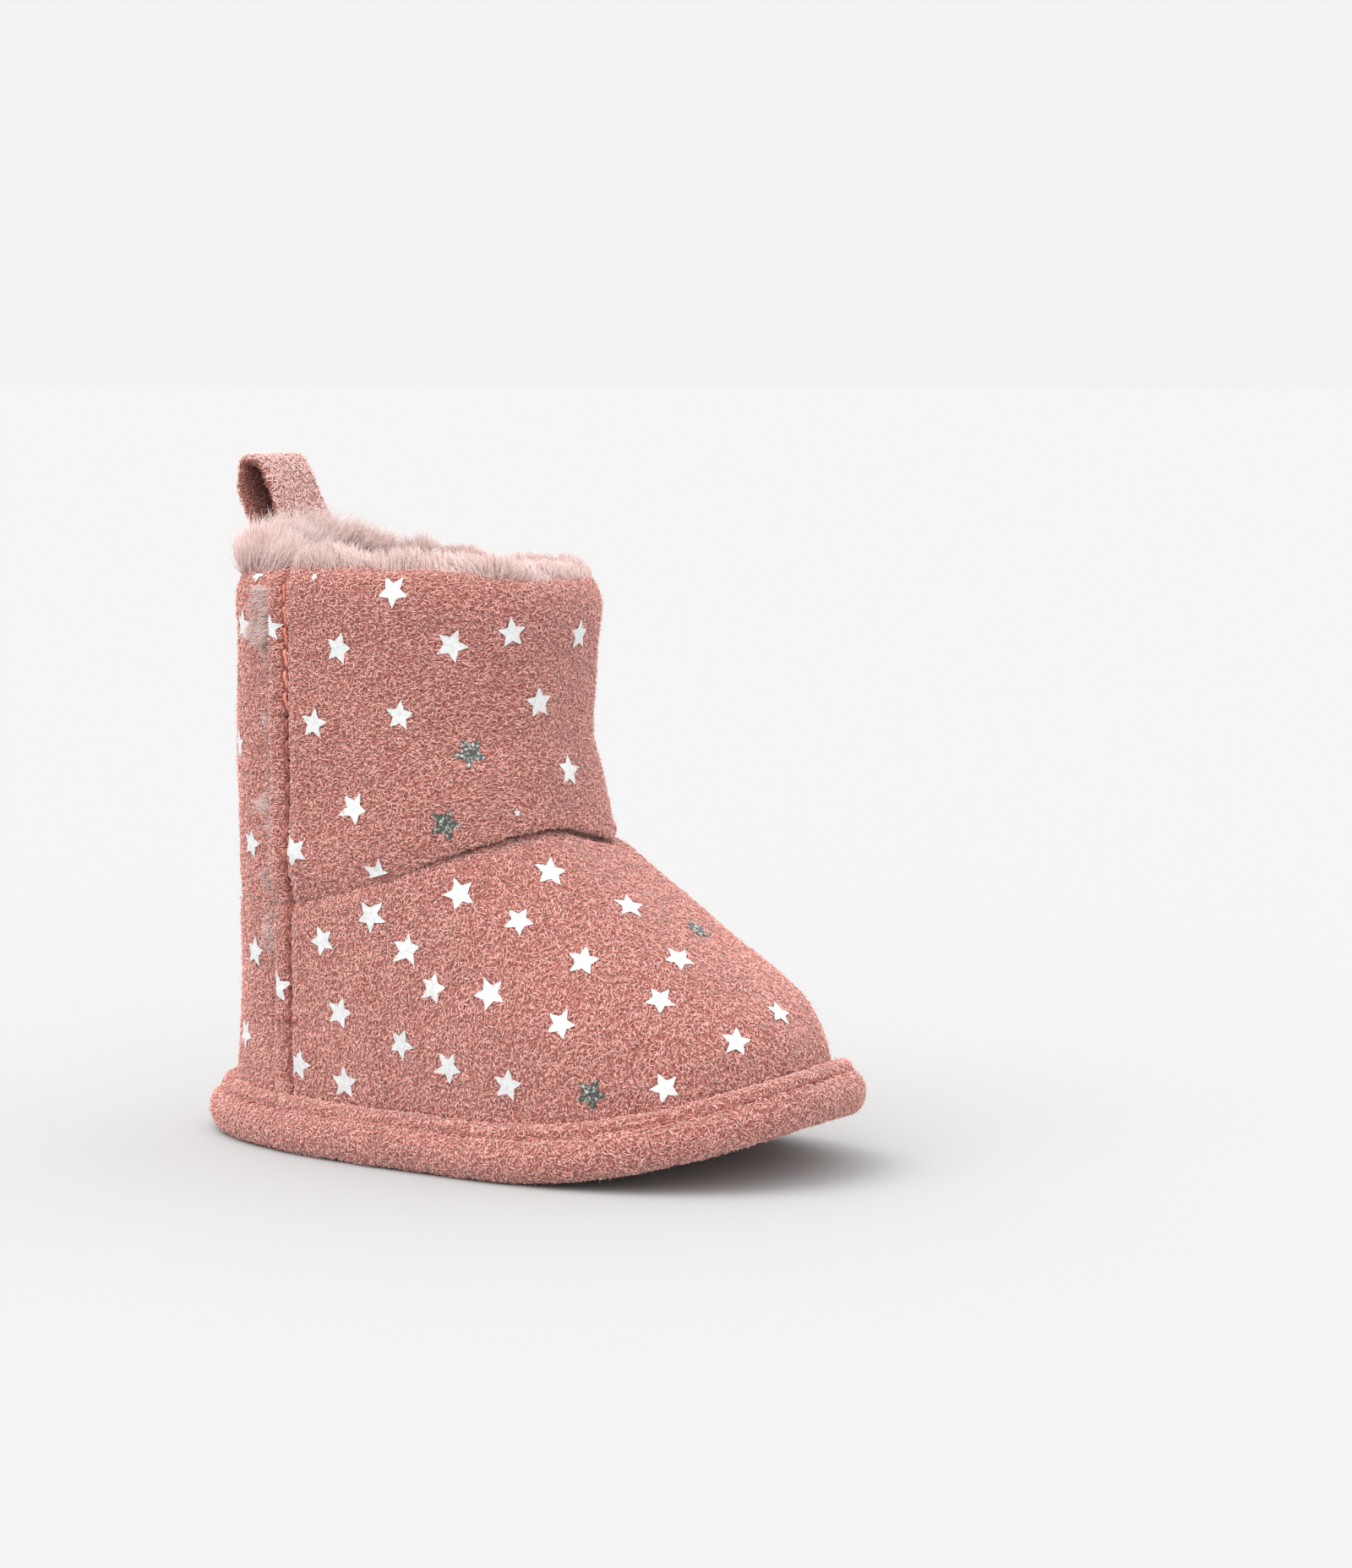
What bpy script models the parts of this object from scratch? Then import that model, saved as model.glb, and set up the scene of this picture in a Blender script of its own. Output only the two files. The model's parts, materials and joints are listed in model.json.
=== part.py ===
"""Baby bootie: a soft side-opening boot of suede-look fabric with a fur lining.

Run with: blender --background --python part.py
Metres, +Z up, toe towards +X, the side opening on the -Y side.
The origin is on the ground, below the middle of the sole.
"""

import bpy
import numpy as np
from mathutils import Matrix

MM = 0.001

# Driving dimensions
SOLE_LENGTH = 122.4 * MM
SOLE_HALF_WIDTH_HEEL = 30.4 * MM
SOLE_HALF_WIDTH_BALL = 34.8 * MM
ROLL_HEIGHT = 8.2 * MM
ROLL_WIDTH = 4.6 * MM
TOE_SPRING = 9.5 * MM
TOE_SPRING_START = 8.0 * MM
TOE_SPRING_END = 58.0 * MM
RIM_HEIGHT = 98.5 * MM
UPPER_BOTTOM = 11.2 * MM
SLIT_X = -37.8 * MM
SLIT_BOTTOM = 24.0 * MM
FOLD_TOP_X = -4.0 * MM

# Thicknesses and clearances
GAP = 0.35 * MM
FOLD_GAP = 0.55 * MM
FABRIC = 1.3 * MM
PILE = 4.0 * MM
THIN_PILE = 2.6 * MM
TAPE = 0.7 * MM
UNDERLAP = 14.0 * MM
UNDERLAP_DEPTH = 4.2 * MM
THREAD_RADIUS = 0.35 * MM
STITCH_INSET = 3.8 * MM
SWING_ROOM = 4.5 * MM
LINING_DEPTH = FABRIC + 0.75 * MM
LINING_GAP = 0.8 * MM

# Fold line of the side flap, on the outside of the near wall
HINGE_LOW = (SLIT_X, -25.4 * MM, SLIT_BOTTOM)
HINGE_HIGH = (FOLD_TOP_X, -25.4 * MM, RIM_HEIGHT)

# Pull loop
LOOP_WIDTH = 13.6 * MM
LOOP_STRIP = 1.3 * MM
LOOP_OFFSET = 7.5 * MM
LOOP_PIVOT = (-50.4 * MM, LOOP_OFFSET, 100.9 * MM)

# The upper's shape, as height above the sole against a size, all in millimetres
FRONT_PROFILE = [(8, 57.0), (14, 56.0), (20, 53.0), (28, 45.5), (36, 36.5), (44, 27.8),
                 (52, 19.4), (58, 14.0), (64, 11.0), (72, 9.4), (82, 10.2), (92, 10.8), (101, 9.4)]
BACK_PROFILE = [(8, -57.4), (14, -57.0), (30, -56.0), (60, -55.2), (90, -55.0), (101, -54.4)]
HEEL_HALF_WIDTH = [(8, 26.5), (14, 26.4), (60, 24.6), (101, 24.6)]
BALL_HALF_WIDTH = [(8, 31.6), (14, 31.6), (24, 30.8), (40, 27.6), (60, 24.5), (101, 25.0)]
# Height of the seam between vamp and shaft, against degrees from the front centre
SEAM_HEIGHT = [(0, 56.8), (18, 57.8), (35, 57.6), (50, 56.3), (66, 53.8), (85, 50.0),
               (105, 46.2), (125, 43.5), (180, 43.0)]
OUTLINE_POWER = 2.4

FLAP_PIECES = ["flap_shaft_corner", "flap_vamp_corner", "flap_lining", "hook_tape",
               "flap_topstitch"]

COLOURS = {
    "suede": ((0.62, 0.25, 0.22), 0.95),
    "fur": ((0.80, 0.52, 0.48), 1.0),
    "foam": ((0.85, 0.83, 0.78), 0.9),
    "board": ((0.70, 0.62, 0.50), 0.8),
    "tape": ((0.72, 0.36, 0.33), 0.7),
    "thread": ((0.60, 0.20, 0.17), 0.6),
}


# ---------------------------------------------------------------- curves

def smooth(table, at):
    """A smooth curve through the (place, value) pairs, without overshoot."""
    places, values = np.array(table, float).T
    slope = np.diff(values) / np.diff(places)
    tangent = np.concatenate([[slope[0]], np.zeros(len(places) - 2), [slope[-1]]])
    for i in range(1, len(places) - 1):
        if slope[i - 1] * slope[i] > 0:
            tangent[i] = 2 * slope[i - 1] * slope[i] / (slope[i - 1] + slope[i])
    at = np.clip(at, places[0], places[-1])
    i = np.clip(np.searchsorted(places, at, side="right") - 1, 0, len(places) - 2)
    step = places[i + 1] - places[i]
    s = (at - places[i]) / step
    return ((2 * s**3 - 3 * s**2 + 1) * values[i] + (s**3 - 2 * s**2 + s) * step * tangent[i]
            + (3 * s**2 - 2 * s**3) * values[i + 1] + (s**3 - s**2) * step * tangent[i + 1])


def sized(table, height):
    """A profile table read at a height in metres, as metres."""
    return smooth(table, np.asarray(height) / MM) * MM


def signed_power(value, power):
    return np.sign(value) * np.abs(value) ** power


def toe_spring(x):
    """How far the sole lifts off the ground towards the toe."""
    run = np.clip((x - TOE_SPRING_START) / (TOE_SPRING_END - TOE_SPRING_START), 0, 2)
    return TOE_SPRING * run**2


def foot_outline(angle, back, front, heel_half, ball_half):
    """A straight-lasted foot outline: angle 0 is the toe, pi the heel."""
    along = signed_power(np.cos(angle), 2 / OUTLINE_POWER)
    across = signed_power(np.sin(angle), 2 / OUTLINE_POWER)
    towards_ball = 0.5 + 0.5 * np.tanh((along - 0.05) * 2.2)
    x = (back + front) / 2 + (front - back) / 2 * along
    y = (heel_half + (ball_half - heel_half) * towards_ball) * across
    return x, y


# ---------------------------------------------------------------- the upper's surface

def upper_point(angle, height):
    """The upper's outer surface: angle from the front centre, height above the sole."""
    x, y = foot_outline(angle, sized(BACK_PROFILE, height), sized(FRONT_PROFILE, height),
                        sized(HEEL_HALF_WIDTH, height), sized(BALL_HALF_WIDTH, height))
    return np.stack([x, y, height + toe_spring(x)], -1)


def upper_inside(angle, height, inset):
    """The upper's surface moved inwards, square to itself."""
    turn, rise = np.radians(1.0), 0.5 * MM
    round_it = upper_point(angle + turn, height) - upper_point(angle - turn, height)
    up_it = upper_point(angle, height + rise) - upper_point(angle, height - rise)
    normal = np.cross(round_it, up_it)
    normal /= np.linalg.norm(normal, axis=-1, keepdims=True)
    return upper_point(angle, height) - normal * np.asarray(inset)[..., None]


def angle_at(x, height):
    """The angle, 0 to pi, at which the upper has this x at this height."""
    back, front = sized(BACK_PROFILE, height), sized(FRONT_PROFILE, height)
    along = np.clip((x - (back + front) / 2) / ((front - back) / 2), -1, 1)
    return np.arccos(signed_power(along, OUTLINE_POWER / 2))


def fold_x(height):
    """Where the flap's fold line crosses the near wall at this height."""
    share = (height - SLIT_BOTTOM) / (RIM_HEIGHT - SLIT_BOTTOM)
    return SLIT_X + (FOLD_TOP_X - SLIT_X) * np.clip(share, 0, 1.05)


def seam_height(angle):
    return smooth(SEAM_HEIGHT, np.degrees(np.abs(angle))) * MM


# ---------------------------------------------------------------- Blender helpers

def clear_scene():
    for old in list(bpy.data.objects):
        bpy.data.objects.remove(old, do_unlink=True)


def make_materials():
    made = {}
    for name, (colour, roughness) in COLOURS.items():
        material = bpy.data.materials.new(name)
        material.use_nodes = True
        shader = material.node_tree.nodes["Principled BSDF"]
        shader.inputs["Base Color"].default_value = (*colour, 1)
        shader.inputs["Roughness"].default_value = roughness
        shader.inputs["Metallic"].default_value = 0.0
        made[name] = material
    return made


def add_object(name, mesh, material):
    mesh.materials.append(material)
    mesh.shade_smooth()
    obj = bpy.data.objects.new(name, mesh)
    collection.objects.link(obj)
    return obj


def thicken(obj, thickness, offset=-1.0):
    """Turns an open surface into a shell, by default inwards."""
    shell = obj.modifiers.new("Thickness", "SOLIDIFY")
    shell.thickness = thickness
    shell.offset = offset
    return obj


def patch_mesh(name, points, close_u=False, close_v=False):
    """A mesh skinned over a grid of points, [u][v], with its faces turned along u x v."""
    count_u, count_v = points.shape[:2]
    last_u = count_u if close_u else count_u - 1
    last_v = count_v if close_v else count_v - 1
    faces = []
    for u in range(last_u):
        for v in range(last_v):
            a, b = u * count_v, (u + 1) % count_u * count_v
            faces.append((a + v, b + v, b + (v + 1) % count_v, a + (v + 1) % count_v))
    mesh = bpy.data.meshes.new(name)
    mesh.from_pydata(points.reshape(-1, 3).tolist(), [], faces)
    return mesh


def panel(name, material, start, stop, low, high, columns, rows, inset=0.0, thickness=FABRIC):
    """A shell cut from the upper's surface.

    start and stop give the panel's end angles at a height, low and high its edge heights
    at an angle. inset says how deep its outer face lies, at an angle and a height.
    """
    across, up = np.meshgrid(np.linspace(0, 1, columns + 1), np.linspace(0, 1, rows + 1),
                             indexing="ij")
    height = UPPER_BOTTOM + (RIM_HEIGHT - UPPER_BOTTOM) * up
    for _ in range(12):
        angle = start(height) + (stop(height) - start(height)) * across
        height = low(angle) + (high(angle) - low(angle)) * up
    depth = inset(angle, height) if callable(inset) else np.full(angle.shape, inset)
    mesh = patch_mesh(name, upper_inside(angle, height, depth))
    return thicken(add_object(name, mesh, material), thickness)


def plate(name, material, margin, low, thickness, spokes=44, rings=5):
    """A sole-shaped layer: margin is how far its edge lies inside the edge roll's outside."""
    angle = np.linspace(0, 2 * np.pi, spokes, endpoint=False)
    half = SOLE_LENGTH / 2 - margin
    x, y = foot_outline(angle, -half, half, SOLE_HALF_WIDTH_HEEL - margin,
                        SOLE_HALF_WIDTH_BALL - margin)
    share = (np.arange(rings) + 1) / rings
    grid_x, grid_y = x[:, None] * share, y[:, None] * share
    points = np.stack([grid_x, grid_y, low + toe_spring(grid_x)], -1)
    skin = patch_mesh(name + "_skin", points, close_u=True)
    vertices = [tuple(v.co) for v in skin.vertices] + [(0, 0, low + toe_spring(0.0))]
    faces = [tuple(p.vertices) for p in skin.polygons]
    for spoke in range(spokes):
        faces.append((len(skin.vertices), (spoke + 1) % spokes * rings, spoke * rings))
    mesh = bpy.data.meshes.new(name)
    mesh.from_pydata(vertices, [], faces)
    return thicken(add_object(name, mesh, material), thickness)


def ring(name, material, centre, half_width, half_height, spokes, sides, power=2.0):
    """A closed roll of oval section along the foot outline. centre(angle) gives its middle."""
    angle = np.linspace(0, 2 * np.pi, spokes, endpoint=False)
    turn = np.linspace(0, 2 * np.pi, sides, endpoint=False)
    middle, outward = centre(angle)
    wide = signed_power(np.cos(turn), 2 / power) * half_width
    tall = signed_power(np.sin(turn), 2 / power) * half_height
    points = middle[:, None, :] + outward[:, None, :] * wide[None, :, None]
    points[..., 2] += tall
    mesh = patch_mesh(name, points, close_u=True, close_v=True)
    return add_object(name, mesh, material)


def sole_edge_line(angle, margin, height):
    """Points along the sole's edge with the outward direction at each."""
    half = SOLE_LENGTH / 2 - margin

    def at(a):
        x, y = foot_outline(a, -half, half, SOLE_HALF_WIDTH_HEEL - margin,
                            SOLE_HALF_WIDTH_BALL - margin)
        return np.stack([x, y, height + toe_spring(x)], -1)

    turn = np.radians(1.0)
    along = at(angle + turn) - at(angle - turn)
    outward = np.stack([along[:, 1], -along[:, 0], 0 * along[:, 0]], -1)
    return at(angle), outward / np.linalg.norm(outward, axis=-1, keepdims=True)


def thread(name, material, points, radius=THREAD_RADIUS, close=False):
    """A strand along the points, with closed ends, or joined up into a ring."""
    curve = bpy.data.curves.new(name, "CURVE")
    curve.dimensions = "3D"
    curve.bevel_depth = radius
    curve.bevel_resolution = 1
    curve.use_fill_caps = True
    spline = curve.splines.new("POLY")
    spline.points.add(len(points) - 1)
    spline.use_cyclic_u = close
    for target, point in zip(spline.points, points):
        target.co = (*point, 1)
    curve.materials.append(material)
    obj = bpy.data.objects.new(name, curve)
    collection.objects.link(obj)
    return obj


def strip(name, material, path, width, thickness, columns=3):
    """A band that follows a path in the X-Z plane from the loop's pivot, its width across Y."""
    across = np.linspace(-width / 2, width / 2, columns + 1)
    points = np.zeros((len(path), columns + 1, 3))
    points[..., 0] = np.array(path)[:, 0:1]
    points[..., 1] = across
    points[..., 2] = np.array(path)[:, 1:2]
    mesh = patch_mesh(name, points + np.array(LOOP_PIVOT))
    return thicken(add_object(name, mesh, material), thickness, offset=0.0)


# ---------------------------------------------------------------- panel edges

def near_edge(line_x, offset=0.0):
    """A panel end on the near side, this far in front of a line given as x at a height."""
    return lambda height: -angle_at(line_x(height) + offset, height)


def far_edge(offset=0.0):
    """A panel end at the far side's closed seam, this far in front of it."""
    return lambda height: angle_at(SLIT_X + offset, height)


def slit_x(height):
    return SLIT_X + 0 * height


def underlap_x(height):
    """The heel panel's front edge: at the closed seam low down, beneath the flap higher up."""
    share = np.clip((height - 24 * MM) / (10 * MM), 0, 1)
    return SLIT_X - GAP / 2 + (UNDERLAP + GAP / 2) * share


def lining_x(height):
    """The fixed lining starts in front of the underlap, or of the fold line above it."""
    return np.maximum(underlap_x(height), fold_x(height))


def constant(value):
    return lambda angle: np.full(np.shape(angle), value)


def heel_inset(angle, height):
    """The heel panel dips under the flap near the opening, which lies past angle pi."""
    x = upper_point(angle, height)[..., 0]
    table = [(-8, 0.0), (-1, 2.0), (2.5, UNDERLAP_DEPTH / MM), (30, UNDERLAP_DEPTH / MM)]
    opened = np.clip((height - 15 * MM) / (7 * MM), 0, 1)
    return np.where(angle > np.pi, smooth(table, (x - SLIT_X) / MM) * MM * opened, 0.0)


def heel_lining_inset(angle, height):
    """The lining follows the heel panel, and makes room for the sewn end of the loop."""
    point = upper_point(angle, height)
    beside = np.abs(point[..., 1] - LOOP_OFFSET)
    sideways = np.clip((14 * MM - beside) / (4.5 * MM), 0, 1)
    upwards = np.clip((height - 74 * MM) / (6 * MM), 0, 1)
    room = (2 * LOOP_STRIP + 2 * GAP) * sideways * upwards * (point[..., 0] < SLIT_X)
    return heel_inset(angle, height) + LINING_DEPTH + room


# ---------------------------------------------------------------- sub-parts

def build_sole(materials):
    plate("outsole", materials["suede"], ROLL_WIDTH + GAP, 0.0, 1.5 * MM)
    plate("sole_foam", materials["foam"], ROLL_WIDTH + GAP, 1.9 * MM, 5.7 * MM)
    ring("sole_edge_roll", materials["suede"],
         lambda a: sole_edge_line(a, ROLL_WIDTH / 2, 0.1 * MM + ROLL_HEIGHT / 2),
         ROLL_WIDTH / 2, ROLL_HEIGHT / 2, 48, 10, 2.3)
    ring("welt", materials["suede"],
         lambda a: sole_edge_line(a, 3.1 * MM, 9.8 * MM), 1.15 * MM, 1.15 * MM, 48, 6)
    plate("insole_board", materials["board"], 6.4 * MM, 8.2 * MM, 0.9 * MM)
    plate("insole_fleece", materials["fur"], 11.2 * MM, 9.6 * MM, 3.4 * MM)


def build_upper(materials):
    suede, seam_gap = materials["suede"], 0.25 * MM
    bottom, rim = constant(UPPER_BOTTOM), constant(RIM_HEIGHT)
    panel("vamp_panel", suede, near_edge(fold_x, FOLD_GAP / 2), far_edge(GAP / 2),
          bottom, lambda a: seam_height(a) - seam_gap, 30, 6)
    panel("shaft_panel", suede, near_edge(fold_x, FOLD_GAP / 2), far_edge(GAP / 2),
          lambda a: seam_height(a) + seam_gap, rim, 20, 6)
    panel("heel_panel", suede, far_edge(-GAP / 2),
          lambda h: 2 * np.pi + near_edge(underlap_x)(h), bottom, rim, 28, 9, heel_inset)


def build_lining(materials):
    fur, depth, seam_gap = materials["fur"], LINING_DEPTH, 0.3 * MM
    bottom, rim = constant(UPPER_BOTTOM), constant(RIM_HEIGHT + 0.4 * MM)
    panel("vamp_lining", fur, near_edge(underlap_x, 3 * LINING_GAP), far_edge(LINING_GAP / 2),
          bottom, lambda a: seam_height(a) - seam_gap, 30, 6, depth, PILE)
    panel("shaft_lining", fur, near_edge(lining_x, 2 * LINING_GAP), far_edge(LINING_GAP / 2),
          lambda a: seam_height(a) + seam_gap, rim, 20, 6, depth, PILE)
    panel("heel_lining", fur, far_edge(-LINING_GAP / 2),
          lambda h: 2 * np.pi + near_edge(underlap_x)(h), bottom, rim, 28, 9,
          heel_lining_inset, THIN_PILE)


def build_flap(materials):
    suede = materials["suede"]
    rim = constant(RIM_HEIGHT)
    panel("flap_shaft_corner", suede, near_edge(slit_x), near_edge(fold_x, -FOLD_GAP / 2),
          lambda a: seam_height(a) + 0.25 * MM, rim, 8, 6)
    panel("flap_vamp_corner", suede, near_edge(slit_x), near_edge(fold_x, -FOLD_GAP / 2),
          constant(SLIT_BOTTOM + 3.5 * MM), lambda a: seam_height(a) - 0.25 * MM, 3, 3)
    panel("flap_lining", materials["fur"], near_edge(underlap_x, SWING_ROOM),
          near_edge(fold_x, -LINING_GAP), constant(72 * MM), rim, 5, 4, LINING_DEPTH, PILE)
    tape_low, tape_high = constant(53 * MM), constant(94 * MM)
    tape_start, tape_stop = near_edge(slit_x, 2.4 * MM), near_edge(slit_x, 12.4 * MM)
    hooks_depth = FABRIC + 0.45 * MM
    panel("hook_tape", materials["tape"], tape_start, tape_stop, tape_low, tape_high, 3, 5,
          hooks_depth, TAPE)
    panel("loop_tape", materials["tape"], tape_start, tape_stop, tape_low, tape_high, 3, 5,
          hooks_depth + TAPE + 0.25 * MM, TAPE)


def build_stitching(materials):
    height = np.linspace(30 * MM, 96 * MM, 18)
    lift = THREAD_RADIUS + 0.25 * MM
    thread("flap_topstitch", materials["thread"],
           upper_inside(near_edge(slit_x, STITCH_INSET)(height), height,
                        np.full(height.shape, -lift)))
    angle = np.linspace(0, 2 * np.pi, 49)
    low = np.full(angle.shape, UPPER_BOTTOM + 0.8 * MM)
    thread("sole_stitching", materials["thread"],
           upper_inside(angle[:-1], low[:-1], np.full(48, -lift)), close=True)
    across = SLIT_X + np.linspace(1.5, 6.5, 5) * MM
    low = np.full(across.shape, SLIT_BOTTOM - 1.5 * MM)
    thread("slit_bartack", materials["thread"],
           upper_inside(-angle_at(across, low), low, np.full(across.shape, -0.75 * MM)),
           0.55 * MM)


def build_pull_loop(materials):
    suede = materials["suede"]
    middle = np.pi - (LOOP_OFFSET / (24.6 * MM)) ** (OUTLINE_POWER / 2)
    half_angle = (LOOP_WIDTH / 2) / (24 * MM)
    panel("pull_loop_tail", suede, lambda h: middle - half_angle + 0 * h,
          lambda h: middle + half_angle + 0 * h, constant(88 * MM), constant(RIM_HEIGHT), 5, 2,
          FABRIC + 0.5 * MM, 2 * LOOP_STRIP)
    foot = LOOP_STRIP / 2 + 0.15 * MM
    leaning = [(2.2, 3.4), (0.8, 8.0), (-1.4, 12.0), (-3.9, 15.3), (-6.6, 17.1), (-8.8, 17.1),
               (-10.0, 15.5), (-10.0, 12.4), (-8.4, 8.8), (-4.6, 5.0), (-1.9, 2.6)]
    path = [(foot, 0.2 * MM)] + [(x * MM, z * MM) for x, z in leaning] + [(-foot, 0.2 * MM)]
    strip("pull_loop", suede, path, LOOP_WIDTH, LOOP_STRIP)


def add_joint_empty(name, place, pieces):
    """Hangs the moving pieces from an empty on their joint's axis, where they stand."""
    empty = bpy.data.objects.new(name, None)
    empty.location = place
    collection.objects.link(empty)
    for piece in pieces:
        obj = bpy.data.objects[piece]
        obj.parent = empty
        obj.matrix_parent_inverse = Matrix.Translation(place).inverted()


clear_scene()
collection = bpy.data.collections.new("baby_bootie")
bpy.context.scene.collection.children.link(collection)
palette = make_materials()
build_sole(palette)
build_upper(palette)
build_lining(palette)
build_flap(palette)
build_stitching(palette)
build_pull_loop(palette)
add_joint_empty("flap_hinge", HINGE_LOW, FLAP_PIECES)
add_joint_empty("loop_hinge", LOOP_PIVOT, ["pull_loop"])
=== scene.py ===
"""Looks of the baby bootie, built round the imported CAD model.

Metres, +Z up, toe towards +X, the side opening on the -Y side.
Fabric pieces are closed soft shells, fur and pile are meshes of tapered hairs.
"""

import json

import bpy
import numpy as np
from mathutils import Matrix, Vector
from mathutils.kdtree import KDTree


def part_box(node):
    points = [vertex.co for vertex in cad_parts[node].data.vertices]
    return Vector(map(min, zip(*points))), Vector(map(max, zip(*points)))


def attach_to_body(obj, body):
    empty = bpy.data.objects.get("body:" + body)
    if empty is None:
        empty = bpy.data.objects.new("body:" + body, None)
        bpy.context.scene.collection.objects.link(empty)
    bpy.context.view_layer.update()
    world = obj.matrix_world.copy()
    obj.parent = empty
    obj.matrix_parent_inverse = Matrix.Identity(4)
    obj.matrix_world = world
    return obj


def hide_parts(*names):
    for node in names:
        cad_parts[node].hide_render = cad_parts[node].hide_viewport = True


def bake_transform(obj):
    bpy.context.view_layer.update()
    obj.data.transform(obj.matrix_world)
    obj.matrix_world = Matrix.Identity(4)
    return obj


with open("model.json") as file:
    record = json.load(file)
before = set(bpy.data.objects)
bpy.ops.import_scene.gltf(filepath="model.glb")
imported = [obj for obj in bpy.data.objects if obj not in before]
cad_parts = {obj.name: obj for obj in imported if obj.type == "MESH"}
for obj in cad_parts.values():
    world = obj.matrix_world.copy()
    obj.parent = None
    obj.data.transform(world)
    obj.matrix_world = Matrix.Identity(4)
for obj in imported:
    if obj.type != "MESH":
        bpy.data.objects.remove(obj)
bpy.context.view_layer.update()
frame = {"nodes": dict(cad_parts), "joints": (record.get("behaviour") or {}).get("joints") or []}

MM = 0.001
JOINTS = {joint["name"]: joint for joint in frame["joints"]}

# ---- sizes from the frame

SOLE_LOW, SOLE_HIGH = (np.array(corner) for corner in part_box("sole_edge_roll"))
SOLE_LENGTH = SOLE_HIGH[0] - SOLE_LOW[0]
RIM_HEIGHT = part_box("shaft_panel")[1][2]
UPPER_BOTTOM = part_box("vamp_panel")[0][2] - 2.6 * MM
SLIT_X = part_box("flap_shaft_corner")[0][0]
HINGE_LOW = np.array(JOINTS["flap_fold"]["pos_m"])
HINGE_AXIS = np.array(JOINTS["flap_fold"]["axis"]) / np.linalg.norm(JOINTS["flap_fold"]["axis"])
SLIT_BOTTOM = HINGE_LOW[2]
FOLD_LEAN = HINGE_AXIS[0] / HINGE_AXIS[2]
LOOP_PIVOT = np.array(JOINTS["pull_loop_bend"]["pos_m"])
LOOP_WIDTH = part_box("pull_loop")[1][1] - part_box("pull_loop")[0][1]

# ---- sizes shared with the CAD

SOLE_HALF_WIDTH_HEEL = 30.4 * MM
SOLE_HALF_WIDTH_BALL = 34.8 * MM
TOE_SPRING = 9.5 * MM
TOE_SPRING_START = 8.0 * MM
TOE_SPRING_END = 58.0 * MM
UNDERLAP = 14.0 * MM
UNDERLAP_DEPTH = 4.2 * MM
SWING_ROOM = 4.5 * MM
STITCH_INSET = 3.8 * MM
OUTLINE_POWER = 2.4
FRONT_PROFILE = [(8, 57.0), (14, 56.0), (20, 53.0), (28, 45.5), (36, 36.5), (44, 27.8),
                 (52, 19.4), (58, 14.0), (64, 11.0), (72, 9.4), (82, 10.2), (92, 10.8), (101, 9.4)]
BACK_PROFILE = [(8, -57.4), (14, -57.0), (30, -56.0), (60, -55.2), (90, -55.0), (101, -54.4)]
HEEL_HALF_WIDTH = [(8, 26.5), (14, 26.4), (60, 24.6), (101, 24.6)]
BALL_HALF_WIDTH = [(8, 31.6), (14, 31.6), (24, 30.8), (40, 27.6), (60, 24.5), (101, 25.0)]
SEAM_HEIGHT = [(-180, 43.0), (-125, 43.4), (-106, 45.0), (-90, 48.6), (-74, 52.8), (-58, 55.6),
               (-35, 58.2), (-20, 58.9), (-10, 59.0), (-2, 58.2), (6, 57.1), (14, 56.6), (30, 56.9),
               (50, 56.3), (66, 53.8), (85, 50.0), (105, 46.2), (125, 43.5), (180, 43.0)]

# ---- sizes of the looks

FABRIC = 2.1 * MM
LINING_DEPTH = FABRIC + 0.1 * MM
PILE = 3.0 * MM
THIN_PILE = 1.8 * MM
TAPE = 0.8 * MM
STITCH_PITCH = 3.8 * MM
SOLE_STITCH_PITCH = 3.4 * MM
STAR_RADIUS = 2.95 * MM
STAR_SPACING = 10.5 * MM

# Stars on the near side: degrees round from the toe, height in mm, turn in degrees
SHAFT_STARS = [(-74, 97, 180), (-90, 87, 15), (-55, 88, 168), (-32, 90, -6), (1, 89, 0),
               (-96, 74, 8), (-72, 76, 6), (-18, 78, -5), (-47, 70, 40), (-5, 66, 10),
               (-88, 60, 170), (-62, 58, 20), (-107, 52, 190), (-88, 49, 12), (-112, 90, 0, 0.8),
               (-96, 99, 30, 0.25), (-34, 60, 0, 0.25)]
VAMP_STARS = [(-34, 51, 12), (-69, 47, 190), (-56, 43, 172), (-16, 44, 20), (-92, 42, 178),
              (-106, 37, 190), (-88, 37, 5), (-46, 36, 10), (-18, 34, -20), (0, 38, 10),
              (-86, 31, 12), (-74, 31, 186), (-106, 25, 15), (-35, 28, 184), (-62, 26, 20),
              (-94, 21, 170), (-88, 18, 30), (-78, 16, 8), (-119, 15, 15), (-107, 13, 0),
              (-62, 14, 25), (-46, 13, 190), (-24, 18, 12), (-4, 21, 170), (-124, 28, 0)]
HEEL_STARS = [(-126, 99, 170, 0.6), (-134, 90, 10), (-139, 69, 0), (-133, 52, 15), (-137, 33, 8),
              (-150, 80, 20), (-152, 43, 190), (-146, 18, 30)]
# Stars in the dark foil, whose dark colour is a painted reflection: degrees round from the toe,
# height in mm
DARK_STARS = [(-47, 70), (-62, 58), (-62, 14), (0, 38), (-150, 80)]

STRAND_FACES = 180000
CLOTH_SPACING = 0.7 * MM
NAP_DENSITY = 6.2
FUZZ_SHARE = 0.09
# Share of the other stars in the dark foil, whose dark colour is a painted reflection
DARK_SHARE = 0.12
STAR_WAIST = 0.47
STAR_TIP = 0.96
STAR_LIFT = 0.3 * MM
VAMP_TUCK = 1.6 * MM
NAP_ROOM = 0.7 * MM
RIM_RISE = [(-180, 0.8), (-125, 1.2), (-100, 2.0), (-55, 1.8), (-20, 0.6), (0, 0.3), (60, 0.6),
            (180, 0.8)]
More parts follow.
